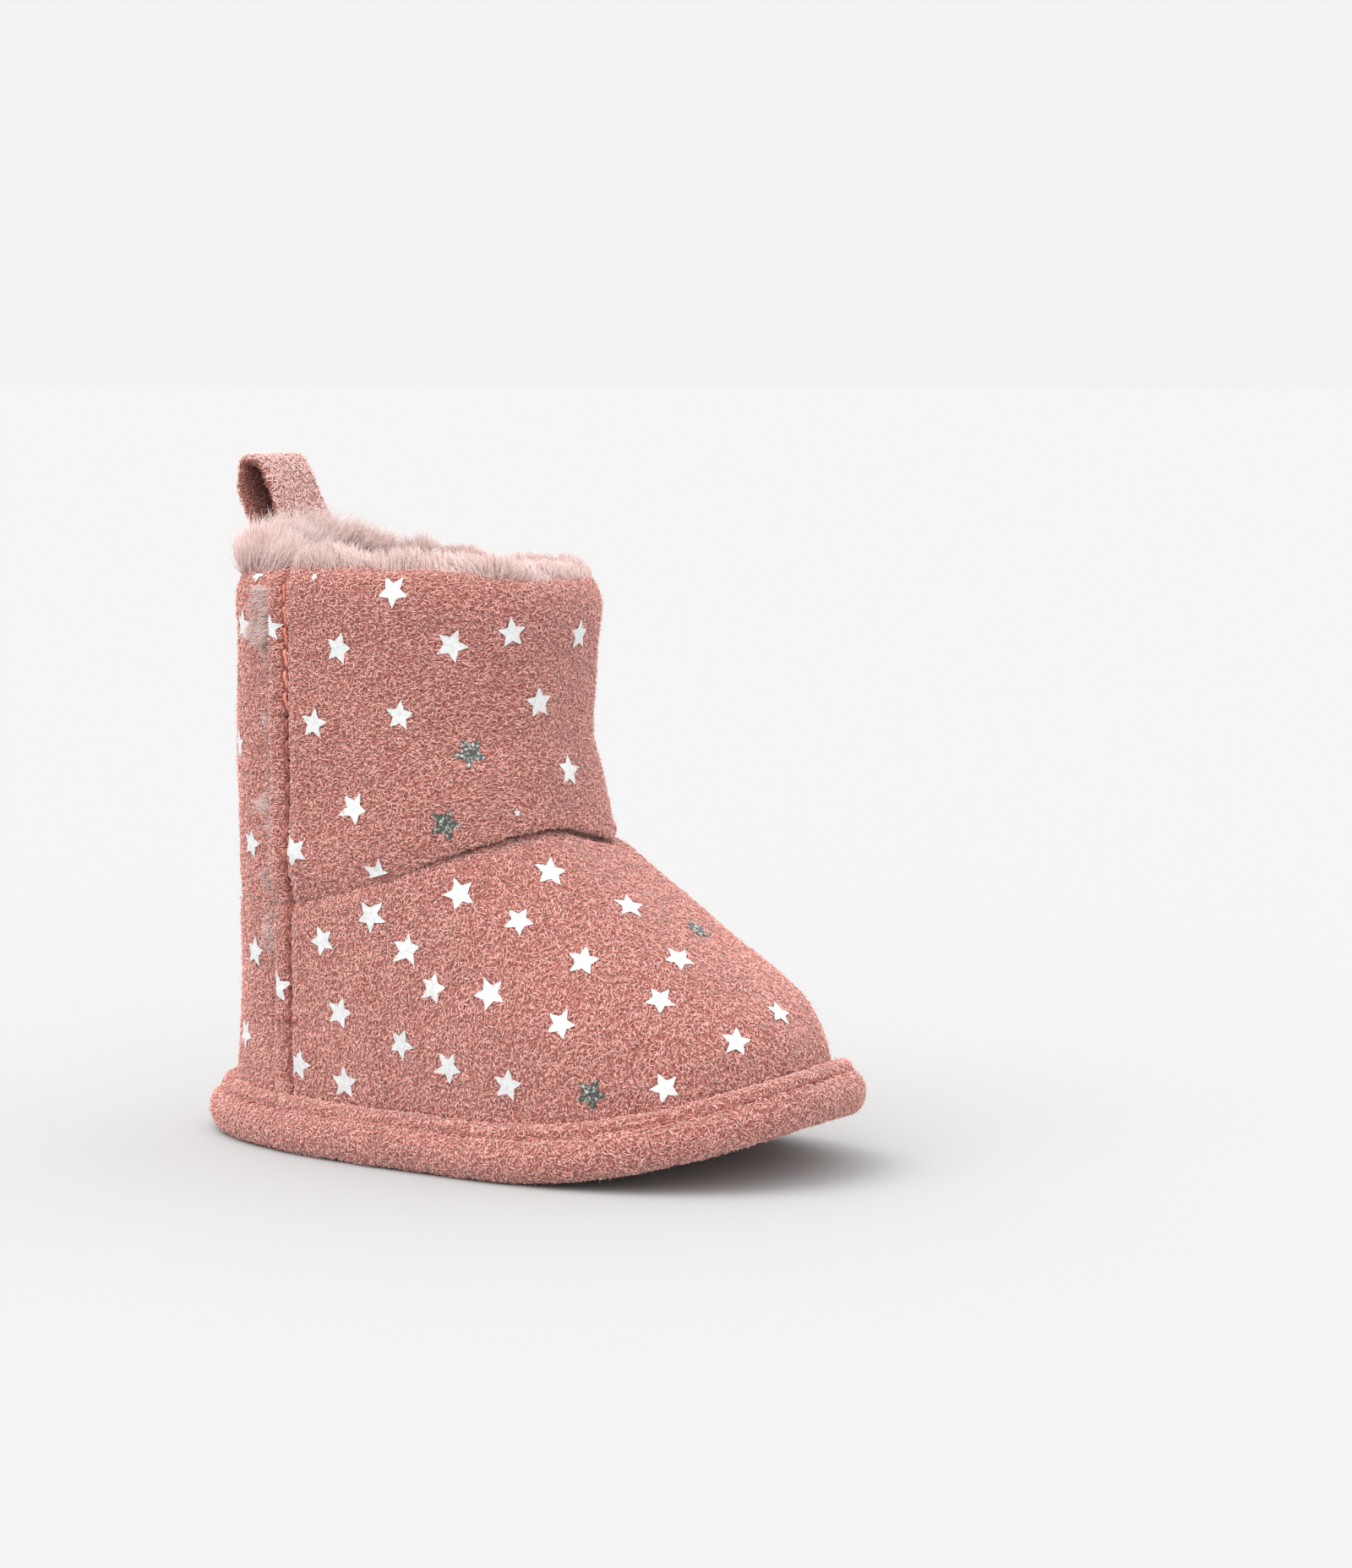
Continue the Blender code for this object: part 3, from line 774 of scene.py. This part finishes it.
def star_frame(panel, degrees, millimetres, turn, size=1.0):
    """A star's angle and height, middle, two directions on the cloth, turn and size."""
    angle, height = np.radians(degrees), np.array(millimetres * MM)
    if panel.start(height) > 0:
        angle = angle % (2 * np.pi)
    _, normal, _, _ = upper_frame(angle, height)
    level = unit(np.cross([0, 0, 1], normal))
    middle = panel.level(angle, height, 0.0)
    return angle, height, middle, level, np.cross(normal, level), np.radians(turn), size


def star_points(panel, star, radius):
    """Rings of points over one star, lying on the panel."""
    angle, height, _, level, rising, turn, size = star
    _, _, round_it, up_it = upper_frame(angle, height)
    spokes = np.radians(np.arange(0, 360, 9.0))
    ragged = 1 + 0.05 * random.uniform(-1, 1, spokes.shape)
    reach = star_reach(spokes) * ragged * radius * size
    share = np.array([0.02, 0.35, 0.7, 1.0])
    side = (reach * np.sin(spokes + turn))[:, None] * share
    rise = (reach * np.cos(spokes + turn))[:, None] * share
    offset = side[..., None] * level + rise[..., None] * rising
    solved = offset.reshape(-1, 3) @ np.linalg.pinv(np.stack([round_it, up_it], -1)).T
    at_angle = angle + solved[:, 0].reshape(side.shape)
    at_height = height + solved[:, 1].reshape(side.shape)
    at_angle, at_height = panel.held_in(at_angle, at_height, 0.7 * MM)
    wrinkle = 0.02 * MM * random.uniform(-1, 1, side.shape)
    return (panel.level(at_angle, at_height, STAR_LIFT + wrinkle),
            panel.level(at_angle, at_height, STAR_LIFT - FOIL + wrinkle))


def foil_piece(name, panel, stars, material):
    """Thin closed foil stars, all in one piece."""
    points, faces, first = [], [], 0
    for star in stars:
        top, under = star_points(panel, star, STAR_RADIUS * random.uniform(0.93, 1.05))
        layers = np.concatenate([top, under[:, ::-1]], 1)
        number = first + numbered(*layers.shape[:2])
        faces.append(grid_faces(number, close_u=True)[:, ::-1])
        faces += [fan_faces(number[:, 0]), fan_faces(number[:, -1])[:, ::-1]]
        points.append(layers.reshape(-1, 3))
        first += number.size
    piece = new_piece(name, np.concatenate(points), faces, material)
    piece.data.shade_flat()
    return piece


def more_stars(panel, placed, first_degrees, last_degrees):
    """Stars at random over the rest of a panel, no closer than in the printed pattern."""
    found = list(placed)
    for _ in range(500):
        degrees = random.uniform(first_degrees, last_degrees)
        height = random.uniform(UPPER_BOTTOM + 2 * MM, RIM_HEIGHT - 2 * MM) / MM
        turn = random.choice([0, 36]) + random.uniform(-22, 22)
        angle = np.radians(degrees)
        inside = panel.low(angle) / MM + 1.5 < height < panel.high(angle) / MM - 1.5
        start, stop = panel.start(height * MM), panel.stop(height * MM)
        if not inside or not start + 0.08 < angle < stop - 0.08:
            continue
        star = star_frame(panel, degrees, height, turn)
        if min(np.linalg.norm(star[2] - other[2]) for other in found) > STAR_SPACING:
            found.append(star)
    return found


def off_the_stars(points, stars):
    """Which points lie on no star."""
    free = np.ones(len(points), bool)
    for _, _, middle, level, rising, turn, size in stars:
        offset = points - middle
        side, rise = offset @ level, offset @ rising
        at = np.arctan2(side, rise) - turn
        on_star = np.hypot(side, rise) < star_reach(at) * STAR_RADIUS * size * 0.94
        free &= ~(on_star & (np.linalg.norm(offset, axis=1) < 1.5 * STAR_RADIUS))
    return free


def off_the_groove(points):
    """Which points lie outside the flap's stitched groove."""
    behind = points[:, 0] - SLIT_X - STITCH_INSET
    return (np.abs(behind) > 0.55 * MM) | (points[:, 1] > 0) | (points[:, 2] < 12 * MM)


def build_stars(name, panel, by_hand, region, attach):
    """The bright stars in one piece and the dark ones, their darkness a painted reflection, in
    another. Returns them all.
    """
    placed = [star_frame(panel, *star) for star in by_hand]
    stars = more_stars(panel, placed, *region)
    dark = [placed[i] for i, star in enumerate(by_hand) if star[:2] in DARK_STARS]
    dark += [star for star in stars[len(placed):] if random.random() < DARK_SHARE]
    dark_ids = {id(star) for star in dark}
    bright = [star for star in stars if id(star) not in dark_ids]
    for ending, some, foil in (("stars", bright, "silver_foil"),
                               ("crinkled_stars", dark, "crinkled_foil")):
        piece = foil_piece(f"{name}_{ending}", panel, some, foil)
        finish([piece], attach)
    return stars


# ---- fibres and fur

def build_nap(name, grid, material, attach, sweep=0.0, stars=(), shares=None):
    """The short curly fibres of brushed suede, lying all ways over a cloth surface."""
    root, normal = scatter(grid, int(NAP_DENSITY * cell_areas(grid).sum() / MM**2), shares)
    free = off_the_stars(root, stars) & off_the_groove(root)
    root, normal = root[free], normal[free]
    level = unit(np.cross([0.02, 0.01, 1], normal))
    rising = np.cross(normal, level)
    turn = random.uniform(0, 2 * np.pi, (len(root), 1))
    lie = unit(np.cos(turn) * level * (1 + sweep) + np.sin(turn) * rising * (1 - sweep))
    bend = np.cross(normal, lie) * random.normal(0, 0.16, (len(root), 1))
    half = random.uniform(0.38, 0.78, (len(root), 1)) * MM
    lift = random.uniform(0.05, 0.45, (len(root), 1)) ** 1.5
    paths = np.stack([root - lie * half - normal * 0.1 * MM,
                      root + normal * half * (0.25 + lift) + bend * half,
                      root + lie * half + normal * half * lift], 1)
    lay_fibres(name, paths, random.uniform(0.095, 0.145, (len(root), 1)) * MM, material, attach)
    fuzz = random.choice(len(root), int(len(root) * FUZZ_SHARE), replace=False)
    root, normal, reach = root[fuzz], normal[fuzz], random.uniform(0.5, 1.2, (len(fuzz), 1)) * MM
    tip = root + unit(normal * 0.9 + random.normal(0, 0.45, root.shape)) * reach
    paths = np.stack([root, (root + tip) / 2 + random.normal(0, 0.12 * MM, root.shape), tip], 1)
    lay_fibres(name + "_fuzz", paths, np.full((len(fuzz), 1), 0.035 * MM), material, attach)


def lay_fibres(name, paths, radii, material, attach):
    """Fibres that keep clear of the floor."""
    paths[..., 2] = np.maximum(paths[..., 2], 0.2 * MM)
    finish(strands(name, paths, radii, material), attach)


def drawn_together(roots, tips, every, pull):
    """The hairs' tips drawn part of the way to the tip of the nearest leading hair."""
    leaders = random.choice(len(roots), size=max(4, len(roots) // every), replace=False)
    tree = KDTree(len(leaders))
    for leader in leaders:
        tree.insert(roots[leader], int(leader))
    tree.balance()
    nearest = np.array([tree.find(root)[1] for root in roots])
    share = pull * random.uniform(0.4, 1.0, (len(roots), 1))
    return tips + (tips[nearest] - tips) * share


def build_fur(name, roots, tips, rise, width, material, attach, every=26, pull=0.55):
    """Soft fur: fine hairs in loose tufts, each bowed sideways and up by its rise."""
    tips = drawn_together(roots, tips, every, pull)
    bow = np.cross(unit(tips - roots), random.normal(0, 1, roots.shape))
    length = np.linalg.norm(tips - roots, axis=-1, keepdims=True)
    middles = [roots + (tips - roots) * s + bow * length * 0.10 * 4 * s * (1 - s)
               + np.array([0, 0, rise]) * s * (1 - s) for s in (0.38, 0.75)]
    paths = np.stack([roots, *middles, tips], 1)
    radii = random.uniform(0.7, 1.2, (len(roots), 1)) * width * np.array([1.0, 0.85, 0.5])
    finish(strands(name, paths, radii, material), attach)


def build_collar(name, start, stop, count, attach):
    """The lining swelling out of the leg opening, with its fur standing up round the rim."""
    angle = np.linspace(start, stop, int((stop - start) / np.radians(1.2)))
    turn = np.linspace(0, 2 * np.pi, 26, endpoint=False)
    thick = smooth(COLLAR_RADIUS, wrapped(angle)) * MM
    point, normal, _, _ = upper_frame(angle, rim_height(angle) - 2.2 * MM)
    outside = unit(normal * [1, 1, 0])
    middle = point - outside * (COLLAR_DEPTH + thick)[:, None]
    ends = np.sqrt(np.clip(np.minimum(angle - start, stop - angle) / 0.12, 0.02, 1))
    size = (thick * ends)[:, None, None]
    points = (middle[:, None] + size * np.cos(turn)[None, :, None] * outside[:, None]
              + size * np.sin(turn)[None, :, None] * np.array([0, 0, 1.0]))
    away = unit(points - middle[:, None])
    points = points + away * (0.9 * MM * noise(points, 5 * MM) * ends[:, None])[..., None]
    number = numbered(*points.shape[:2])
    caps = [fan_faces(number[0]), fan_faces(number[-1])[:, ::-1]]
    piece = new_piece(name, points.reshape(-1, 3),
                      [grid_faces(number, close_v=True), *caps], "fur_pile")
    finish([piece], attach)
    grid = np.concatenate([points, points[:, :1]], 1)
    root, outward = scatter(grid, count, grid_normals(grid)[..., 2] > 0.05)
    collar_fur(name + "_fur", root, outward, "fur", attach)


def collar_fur(name, root, outward, material, attach):
    """Fur that stands up and leans in over the opening, tallest round the loop's foot."""
    centre = upper_point(np.array([0, np.pi]), RIM_HEIGHT)[:, 0].mean()
    from_centre = unit((root - [centre, 0, 0]) * [1, 1, 0])
    tall = smooth(RIM_FUR, np.degrees(np.arctan2(from_centre[:, 1], from_centre[:, 0]))) * MM
    direction = unit(outward * 0.35 - from_centre * 0.3 + np.array([0, 0, 0.8])
                     + swirl(root, 6 * MM) * 0.55 + random.normal(0, 0.22, root.shape))
    tall = tall * (1 + 0.4 * noise(root, 7 * MM))
    tips = root + direction * (tall * random.uniform(0.55, 1.15, len(root)))[:, None]
    build_fur(name, root, tips, 1.0 * MM, 0.07 * MM, material, attach)


def lining_fur(name, grid, count, length, attach):
    """Fur combed upwards over the inner face of a lining."""
    roots, outward = scatter(grid, count)
    direction = unit(-outward * 0.9 + np.array([0, 0, 0.7]) + random.normal(0, 0.3, roots.shape))
    tips = roots + direction * length * random.uniform(0.7, 1.2, (count, 1))
    build_fur(name, roots, tips, 1.2 * MM, 0.12 * MM, "fur", attach, 18)


def slit_fur(panel):
    """Fine fur that has worked its way out beside the flap's edge, in patches on the heel."""
    height = random.uniform(26 * MM, RIM_HEIGHT - 1.5 * MM, SLIT_HAIRS)
    along = np.stack([0 * height, 0 * height, height], -1)
    thick = step_up(noise(along, 8 * MM) + 0.7 * noise(along, 3 * MM), -0.3, 0.7)
    kept = thick > random.uniform(-0.15, 0.9, SLIT_HAIRS)
    height, thick, count = height[kept], thick[kept], np.count_nonzero(kept)
    x = SLIT_X - 1.0 * MM - random.uniform(0, 1, count) ** 1.3 * (1.2 + 5.5 * thick) * MM
    angle = -angle_at(x, height)
    _, normal, around, _ = upper_frame(angle, height)
    roots = panel.level(angle % (2 * np.pi), height, 0.1 * MM)
    direction = unit(normal * 0.75 - unit(around) * 0.35 + swirl(roots, 3.5 * MM) * 1.1
                     + random.normal(0, 0.3, (count, 3)))
    reach = (random.uniform(1.2, 3.2, count) * (0.5 + 0.5 * thick) * MM
             * step_up(height, 22 * MM, 50 * MM))
    build_fur("slit_fur", roots, roots + direction * reach[:, None], 0.0, 0.045 * MM,
              "fur", with_boot, 20, 0.4)


# ---- stitches

def measured(line):
    """How far along the line each of its points lies."""
    return np.concatenate([[0], np.cumsum(np.linalg.norm(np.diff(line, axis=0), axis=1))])


def read_along(run, values, at):
    return np.stack([np.interp(at, run, values[:, k]) for k in range(3)], -1)


def stitch_row(name, line, normals, pitch, radius, material, attach, replaced=()):
    """Single stitches along a line of points, each dipping into the cloth at both ends."""
    run = measured(line)
    count = int(run[-1] / pitch)
    share = np.array([0.06, 0.14, 0.32, 0.5, 0.68, 0.86, 0.94])
    dip = np.array([-1.6, -0.4, 0.5, 0.7, 0.5, -0.4, -1.6]) * radius
    at = (np.arange(count)[:, None] + share) * run[-1] / count
    paths = read_along(run, line, at) + read_along(run, normals, at) * dip[None, :, None]
    radii = np.full((count, 1), radius) * np.array([0.5, 0.95, 1, 1, 1, 0.95])
    finish(strands(name, paths, radii, material, sides=6), attach, replaced)


def needle_holes(name, line, normals, pitch, material, attach):
    """A near-black spindle at the end of every stitch: painted shade of the needle hole's dimple.
    """
    run = measured(line)
    at = np.arange(int(run[-1] / pitch) + 1) * run[-1] / int(run[-1] / pitch)
    middle, up = read_along(run, line, at), read_along(run, normals, at)
    paths = np.stack([middle - up * 0.6 * MM, middle + up * 0.2 * MM, middle + up * 0.6 * MM], 1)
    radii = random.uniform(0.28, 0.42, (len(at), 1)) * MM * np.array([1.0, 0.8])
    finish(strands(name, paths, radii, material, sides=7), attach)


def cloth_line(panel, angle, height, lift):
    return panel.level(angle, height, lift), upper_frame(angle, height)[1]


def build_stitching(panels):
    """The flap's topstitch with painted shade at its needle holes and its coral back tack, the
    bartack, the sole's.
    """
    height = np.linspace(SLIT_BOTTOM + 4 * MM, RIM_HEIGHT - 1.5 * MM, LINE_POINTS)
    angle = -angle_at(SLIT_X + STITCH_INSET, height)
    over, normal = cloth_line(panels["shaft"], angle, height, 0.5 * MM)
    under, _ = cloth_line(panels["vamp"], angle, height, 0.5 * MM)
    line = np.where((height > seam_height(angle))[:, None], over, under)
    # The topstitch's thread is darker than the coral back tack: painted shade of the groove it lies
    # in
    stitch_row("flap_topstitching", line, normal, STITCH_PITCH, 0.36 * MM, "thread", with_flap,
               ["flap_topstitch"])
    needle_holes("flap_needle_holes", line, normal, STITCH_PITCH, "needle_hole", with_flap)
    line, normal = line[-TACK_POINTS:], normal[-TACK_POINTS:]
    again = line + normal * 0.45 * MM + np.array([0.15 * MM, 0, 0.9 * MM])
    stitch_row("flap_back_tack", again, normal, STITCH_PITCH, 0.33 * MM, "coral_thread", with_flap)
    across, height = SLIT_X + np.linspace(0.6, 6.4, 30) * MM, np.full(30, SLIT_BOTTOM - 1.5 * MM)
    line, normal = cloth_line(panels["vamp"], -angle_at(across, height), height, 0.3 * MM)
    stitch_row("slit_bartack_stitches", line, normal, 1.9 * MM, 0.4 * MM, "thread", with_boot,
               ["slit_bartack"])
    line, outward = sole_edge_line(np.linspace(0, 2 * np.pi, 500), 2.0 * MM, 7.35 * MM)
    stitch_row("sole_stitches", line, outward, SOLE_STITCH_PITCH, 0.32 * MM, "thread", with_boot,
               ["sole_stitching"])


# ---- the sole

def sole_outline(angle, margin):
    half = SOLE_LENGTH / 2 - margin
    return foot_outline(angle, -half, half, SOLE_HALF_WIDTH_HEEL - margin,
                        SOLE_HALF_WIDTH_BALL - margin)


def sole_edge_line(angle, margin, height):
    """Points along the sole's edge with the outward direction at each."""
    def at(a):
        x, y = sole_outline(a, margin)
        return np.stack([x, y, height + toe_spring(x)], -1)

    turn = np.radians(1.0)
    along = at(angle + turn) - at(angle - turn)
    return at(angle), unit(np.stack([along[:, 1], -along[:, 0], 0 * along[:, 0]], -1))


def soft_roll(name, margin, height, wide, tall, sides, swell, replaced):
    """A stuffed roll of suede round the sole, with its nap."""
    turn = np.linspace(0, 2 * np.pi, sides, endpoint=False)
    angle = np.linspace(0, 2 * np.pi, ROLL_SPOKES, endpoint=False)
    middle, outward = sole_edge_line(angle, margin, height)
    points = middle[:, None, :] + outward[:, None, :] * (np.cos(turn) * wide)[None, :, None]
    points[..., 2] += np.sin(turn) * tall
    lumps = swell * (noise(points, 9 * MM) + 0.6 * noise(points, 3.5 * MM))
    points = points + unit(points - middle[:, None, :]) * lumps[..., None]
    points[..., 2] = np.maximum(points[..., 2], middle[:, None, 2] - tall)
    faces = grid_faces(numbered(*points.shape[:2]), close_u=True, close_v=True)
    piece = new_piece(name, points.reshape(-1, 3), [faces], "suede")
    finish([piece], with_boot, replaced)
    closed = np.concatenate([points, points[:1]])
    closed = np.concatenate([closed, closed[:, :1]], 1)
    build_nap(name + "_nap", closed, "suede_nap", with_boot)


def sole_layer(name, margin, profile, relief, material):
    """A closed sole-shaped layer, and its grid of points.

    The profile is (share of the outline, height), from the bottom's middle round to the top's.
    """
    x, y = sole_outline(np.linspace(0, 2 * np.pi, LAYER_SPOKES, endpoint=False), margin)
    share, level = np.array(profile).T
    grid_x, grid_y = x[:, None] * share, y[:, None] * share
    points = np.stack([grid_x, grid_y, level + toe_spring(grid_x)], -1)
    points[..., 2] += relief(points) * (np.arange(len(share)) > len(share) // 2)
    number = numbered(*points.shape[:2])
    faces = [grid_faces(number, close_u=True)]
    middles = np.array([[0, 0, points[0, 0, 2]], [0, 0, points[0, -1, 2]]])
    for column, middle, turned in ((0, number.size, False), (-1, number.size + 1, True)):
        rim = number[:, column]
        fan = np.stack([np.full(len(rim), middle), np.roll(rim, -1), rim], -1)
        faces.append(fan[:, ::-1] if turned else fan)
    piece = new_piece(name, np.concatenate([points.reshape(-1, 3), middles]), faces, material)
    return piece, points


def layer_profile(low, thickness, steps):
    """Bottom, rounded edge and top of a flat layer."""
    shares = np.linspace(0.04, 0.985, steps)
    bottom = [(s, low) for s in shares]
    edge = [(0.996, low + 0.15 * thickness), (1.0, low + 0.5 * thickness),
            (0.996, low + 0.85 * thickness)]
    return bottom + edge + [(s, low + thickness) for s in shares[::-1]]


def build_sole():
    """The padded roll and welt, the outsole, and the insole with its fur."""
    soft_roll("sole_roll", 2.6 * MM, 3.75 * MM, 2.75 * MM, 3.6 * MM, 34, 0.22 * MM,
              ["sole_edge_roll"])
    soft_roll("sole_welt", 3.3 * MM, 8.1 * MM, 1.35 * MM, 1.25 * MM, 16, 0.2 * MM, ["welt"])
    bottom, _ = sole_layer("outsole_suede", 4.3 * MM, layer_profile(0.0, 1.6 * MM, 26),
                           lambda p: np.zeros(p.shape[:2]), "suede")
    finish([bottom], with_boot, ["outsole"])
    insole, grid = sole_layer("insole_pad", 10.4 * MM,
                              layer_profile(9.6 * MM, 3.0 * MM, INSOLE_STEPS),
                              lambda p: 0.5 * MM * noise(p, 6 * MM) + 0.3 * MM * noise(p, 2 * MM),
                              "fur_pile")
    finish([insole], with_boot, ["insole_fleece"])
    top = grid[:, INSOLE_STEPS + EDGE_STEPS:]
    lining_fur("insole_fur", np.concatenate([top, top[:1]]), 5200, 4.5 * MM, with_boot)
    for node, look in (("sole_foam", "foam"), ("insole_board", "board")):
        for material_slot in frame["nodes"][node].material_slots:
            material_slot.material = MATERIALS[look]


# ---- the upper

def build_upper(panels):
    """The outer cloth of each panel, with its stars and its nap."""
    looks = [("shaft", with_flap, SHAFT_STARS, (32, 118), 0.35,
              ["shaft_panel", "flap_shaft_corner"]),
             ("vamp", with_flap, VAMP_STARS, (27, 118), -0.15,
              ["vamp_panel", "flap_vamp_corner"]),
             ("heel", with_boot, HEEL_STARS, (126, 205), 0.1, ["heel_panel"])]
    for name, attach, by_hand, region, sweep, replaced in looks:
        piece, outer, _ = panels[name].cloth(name, "suede", FABRIC, CLOTH_SPACING)
        finish([piece], attach, replaced)
        stars = build_stars(name, panels[name], by_hand, region, attach)
        build_nap(name + "_nap", outer, "suede_nap", attach, sweep, stars)


def lumpy(point):
    """How far the lining's pile stands up."""
    return (0.5 + 0.5 * noise(point, 4 * MM)) * 0.9 * MM + 0.3 * MM * noise(point, 1.6 * MM)


def build_lining():
    """The fleece behind each panel, and the fur on it."""
    rim = constant(RIM_HEIGHT)
    linings = make_panels(lambda h: underlap_x(h) + 2.4 * MM, lining_start_x, 0.4 * MM,
                          -0.3 * MM, -0.3 * MM, rim, rim)
    for name, attach, depth, pile, count, length, replaced in (
            ("vamp", with_boot, LINING_DEPTH, PILE, 7000, 4.5 * MM, ["vamp_lining"]),
            ("shaft", with_flap, LINING_DEPTH, PILE, 9000, 5.0 * MM,
             ["shaft_lining", "flap_lining"]),
            ("heel", with_boot, heel_lining_inset, THIN_PILE, 8000, 3.2 * MM, ["heel_lining"])):
        piece, _, inner = linings[name].cloth(name + "_fleece", "fur_pile", pile,
                                              1.3 * MM, depth, lumpy)
        finish([piece], attach, replaced)
        lining_fur(name + "_fleece_fur", inner, count, length, attach)


def build_tapes():
    """The flap's hook tape and the loop tape it closes on, each with its tiny pile."""
    edges = (near_edge(lambda h: slit_x(h) + 2.4 * MM), near_edge(lambda h: slit_x(h) + 12.4 * MM))
    for name, attach, depth, into, replaced in (
            ("hook_strip", with_flap, FABRIC + 0.1 * MM, True, ["hook_tape"]),
            ("loop_strip", with_boot, FABRIC + TAPE + 0.45 * MM, False, ["loop_tape"])):
        panel = Panel(*edges, constant(TAPE_LOW), constant(TAPE_HIGH),
                      lambda a, h, p: cloth_waves(p) + slit_edge_relief(p))
        piece, outer, inner = panel.cloth(name, "tape", TAPE, 0.8 * MM, depth)
        finish([piece], attach, replaced)
        root, normal = scatter(inner if into else outer, 2200)
        tip = (root + normal * (-0.3 if into else 0.3) * MM
               + random.normal(0, 0.12 * MM, root.shape))
        paths = np.stack([root, (root + tip) / 2 + random.normal(0, 0.08 * MM, root.shape), tip], 1)
        finish(strands(name + "_pile", paths, np.full((len(root), 2), 0.06 * MM),
                       "tape"), attach)


# ---- the pull loop

def heel_bow(aside):
    """How far forward the curved heel wall lies, this far aside of the loop's middle."""
    around = np.radians(np.linspace(140, 220, 161))
    wall = upper_point(around, RIM_HEIGHT + 0 * around)[::-1]
    return np.interp(aside + LOOP_PIVOT[1], wall[:, 1], wall[:, 0]) - np.interp(
        LOOP_PIVOT[1], wall[:, 1], wall[:, 0])


def loop_line():
    """Points along the loop's strip, in x and z from its pivot, and the normal at each."""
    path = np.array(LOOP_PATH)
    run = np.cumsum([0] + [np.hypot(*step) for step in np.diff(path, axis=0)])
    at = np.linspace(0, run[-1], 110)
    x, z = (smooth(list(zip(run, path[:, k])), at) * MM for k in (0, 1))
    tangent = unit(np.stack([np.gradient(x), np.gradient(z)], -1))
    return x[:, None], z[:, None], -tangent[:, 1:], tangent[:, :1]


def build_pull_loop():
    """One strip of suede: up out of the heel seam, over, and back down beside itself."""
    x, z, out_x, out_z = loop_line()
    across = (edge_spacing(LOOP_WIDTH, 0.7 * MM, LOOP_STRIP / 2) - 0.5) * LOOP_WIDTH
    inwards = 1 - np.clip((LOOP_WIDTH / 2 - np.abs(across)) / (LOOP_STRIP / 2), 0, 1)
    half = LOOP_STRIP / 2 * np.sqrt(1 - inwards**2)
    faces = []
    for side in (1, -1):
        grid = np.zeros((len(x), len(across), 3))
        grid[..., 0] = x + side * half * out_x
        grid[..., 1] = across
        grid[..., 2] = z + side * half * out_z
        grid[..., 0] += 0.25 * MM * noise(grid + LOOP_PIVOT, 6 * MM) * out_x
        grid[..., 0] += heel_bow(grid[..., 1]) * (1 - step_up(grid[..., 2], 0, 11 * MM))
        faces.append(grid + LOOP_PIVOT)
    faces[1][0], faces[1][-1] = faces[0][0], faces[0][-1]
    piece = shell("heel_loop", faces[0], faces[1], "suede")
    finish([piece], with_loop, ["pull_loop", "pull_loop_tail"])
    above = faces[0][..., 2] > LOOP_PIVOT[2] - 1.2 * MM
    # The inside of the loop gets the darker nap, painted shade, and its outside the lighter nap, a
    # painted highlight
    for name, look, grid, shares in (
            ("heel_loop_nap", "loop_inner_nap", faces[0], above),
            ("heel_loop_inner_nap", "loop_nap", faces[1][::-1], above[::-1])):
        build_nap(name, grid, look, with_loop, 0.2, (), shares)


# ---- floor, light, camera

def build_stage():
    """A pale floor, and white all round, brighter from above, as under a large soft box."""
    corners = np.array([[-1, -1, 0], [1, -1, 0], [1, 1, 0], [-1, 1, 0]]) * FLOOR_HALF
    new_piece("floor", corners, [np.array([[0, 1, 2, 3]])], "pale_floor")
    world = bpy.data.worlds.new("studio")
    world.use_nodes = True
    tree = world.node_tree
    place = add_node(tree, "TexCoord").outputs["Generated"]
    height = add_node(tree, "SeparateXYZ", Vector=place).outputs["Z"]
    colour = add_ramp(tree, height, (0.1, HORIZON), (0.4, SKY))
    tree.links.new(colour, tree.nodes["Background"].inputs["Color"])
    bpy.context.scene.world = world


def add_sun(name, direction, strength, softness):
    light = bpy.data.lights.new(name, "SUN")
    light.energy = strength
    light.angle = np.radians(softness)
    new_object(name, light).rotation_euler = Vector(direction).to_track_quat("-Z", "Y").to_euler()


def build_camera():
    """Low, from the toe's near side, with the bootie to the left of the picture."""
    camera = bpy.data.cameras.new("camera")
    camera.lens, camera.sensor_width = LENS, SENSOR
    obj = new_object("camera", camera)
    turn = np.radians(CAMERA_AZIMUTH)
    ahead = np.array([-np.sin(turn), np.cos(turn), 0])
    right = np.array([np.cos(turn), np.sin(turn), 0])
    obj.location = -ahead * CAMERA_BACK + right * CAMERA_RIGHT + np.array([0, 0, CAMERA_HEIGHT])
    obj.rotation_euler = (np.radians(90 - CAMERA_DOWN), 0, turn)
    bpy.context.scene.camera = obj


build_camera()
build_stage()
for sun in SUNS:
    add_sun(*sun)
bpy.context.scene.view_settings.view_transform = "Standard"
upper = make_panels(slit_x, slit_x, 0.15 * MM, VAMP_TUCK, 0.9 * MM, flap_rim, rim_height)
build_upper(upper)
build_lining()
build_tapes()
build_stitching(upper)
build_sole()
build_pull_loop()
build_collar("shaft_collar", np.radians(-112), np.radians(117), 13000, with_flap)
build_collar("heel_collar", np.radians(118), np.radians(246), 9000, with_boot)
slit_fur(upper["heel"])
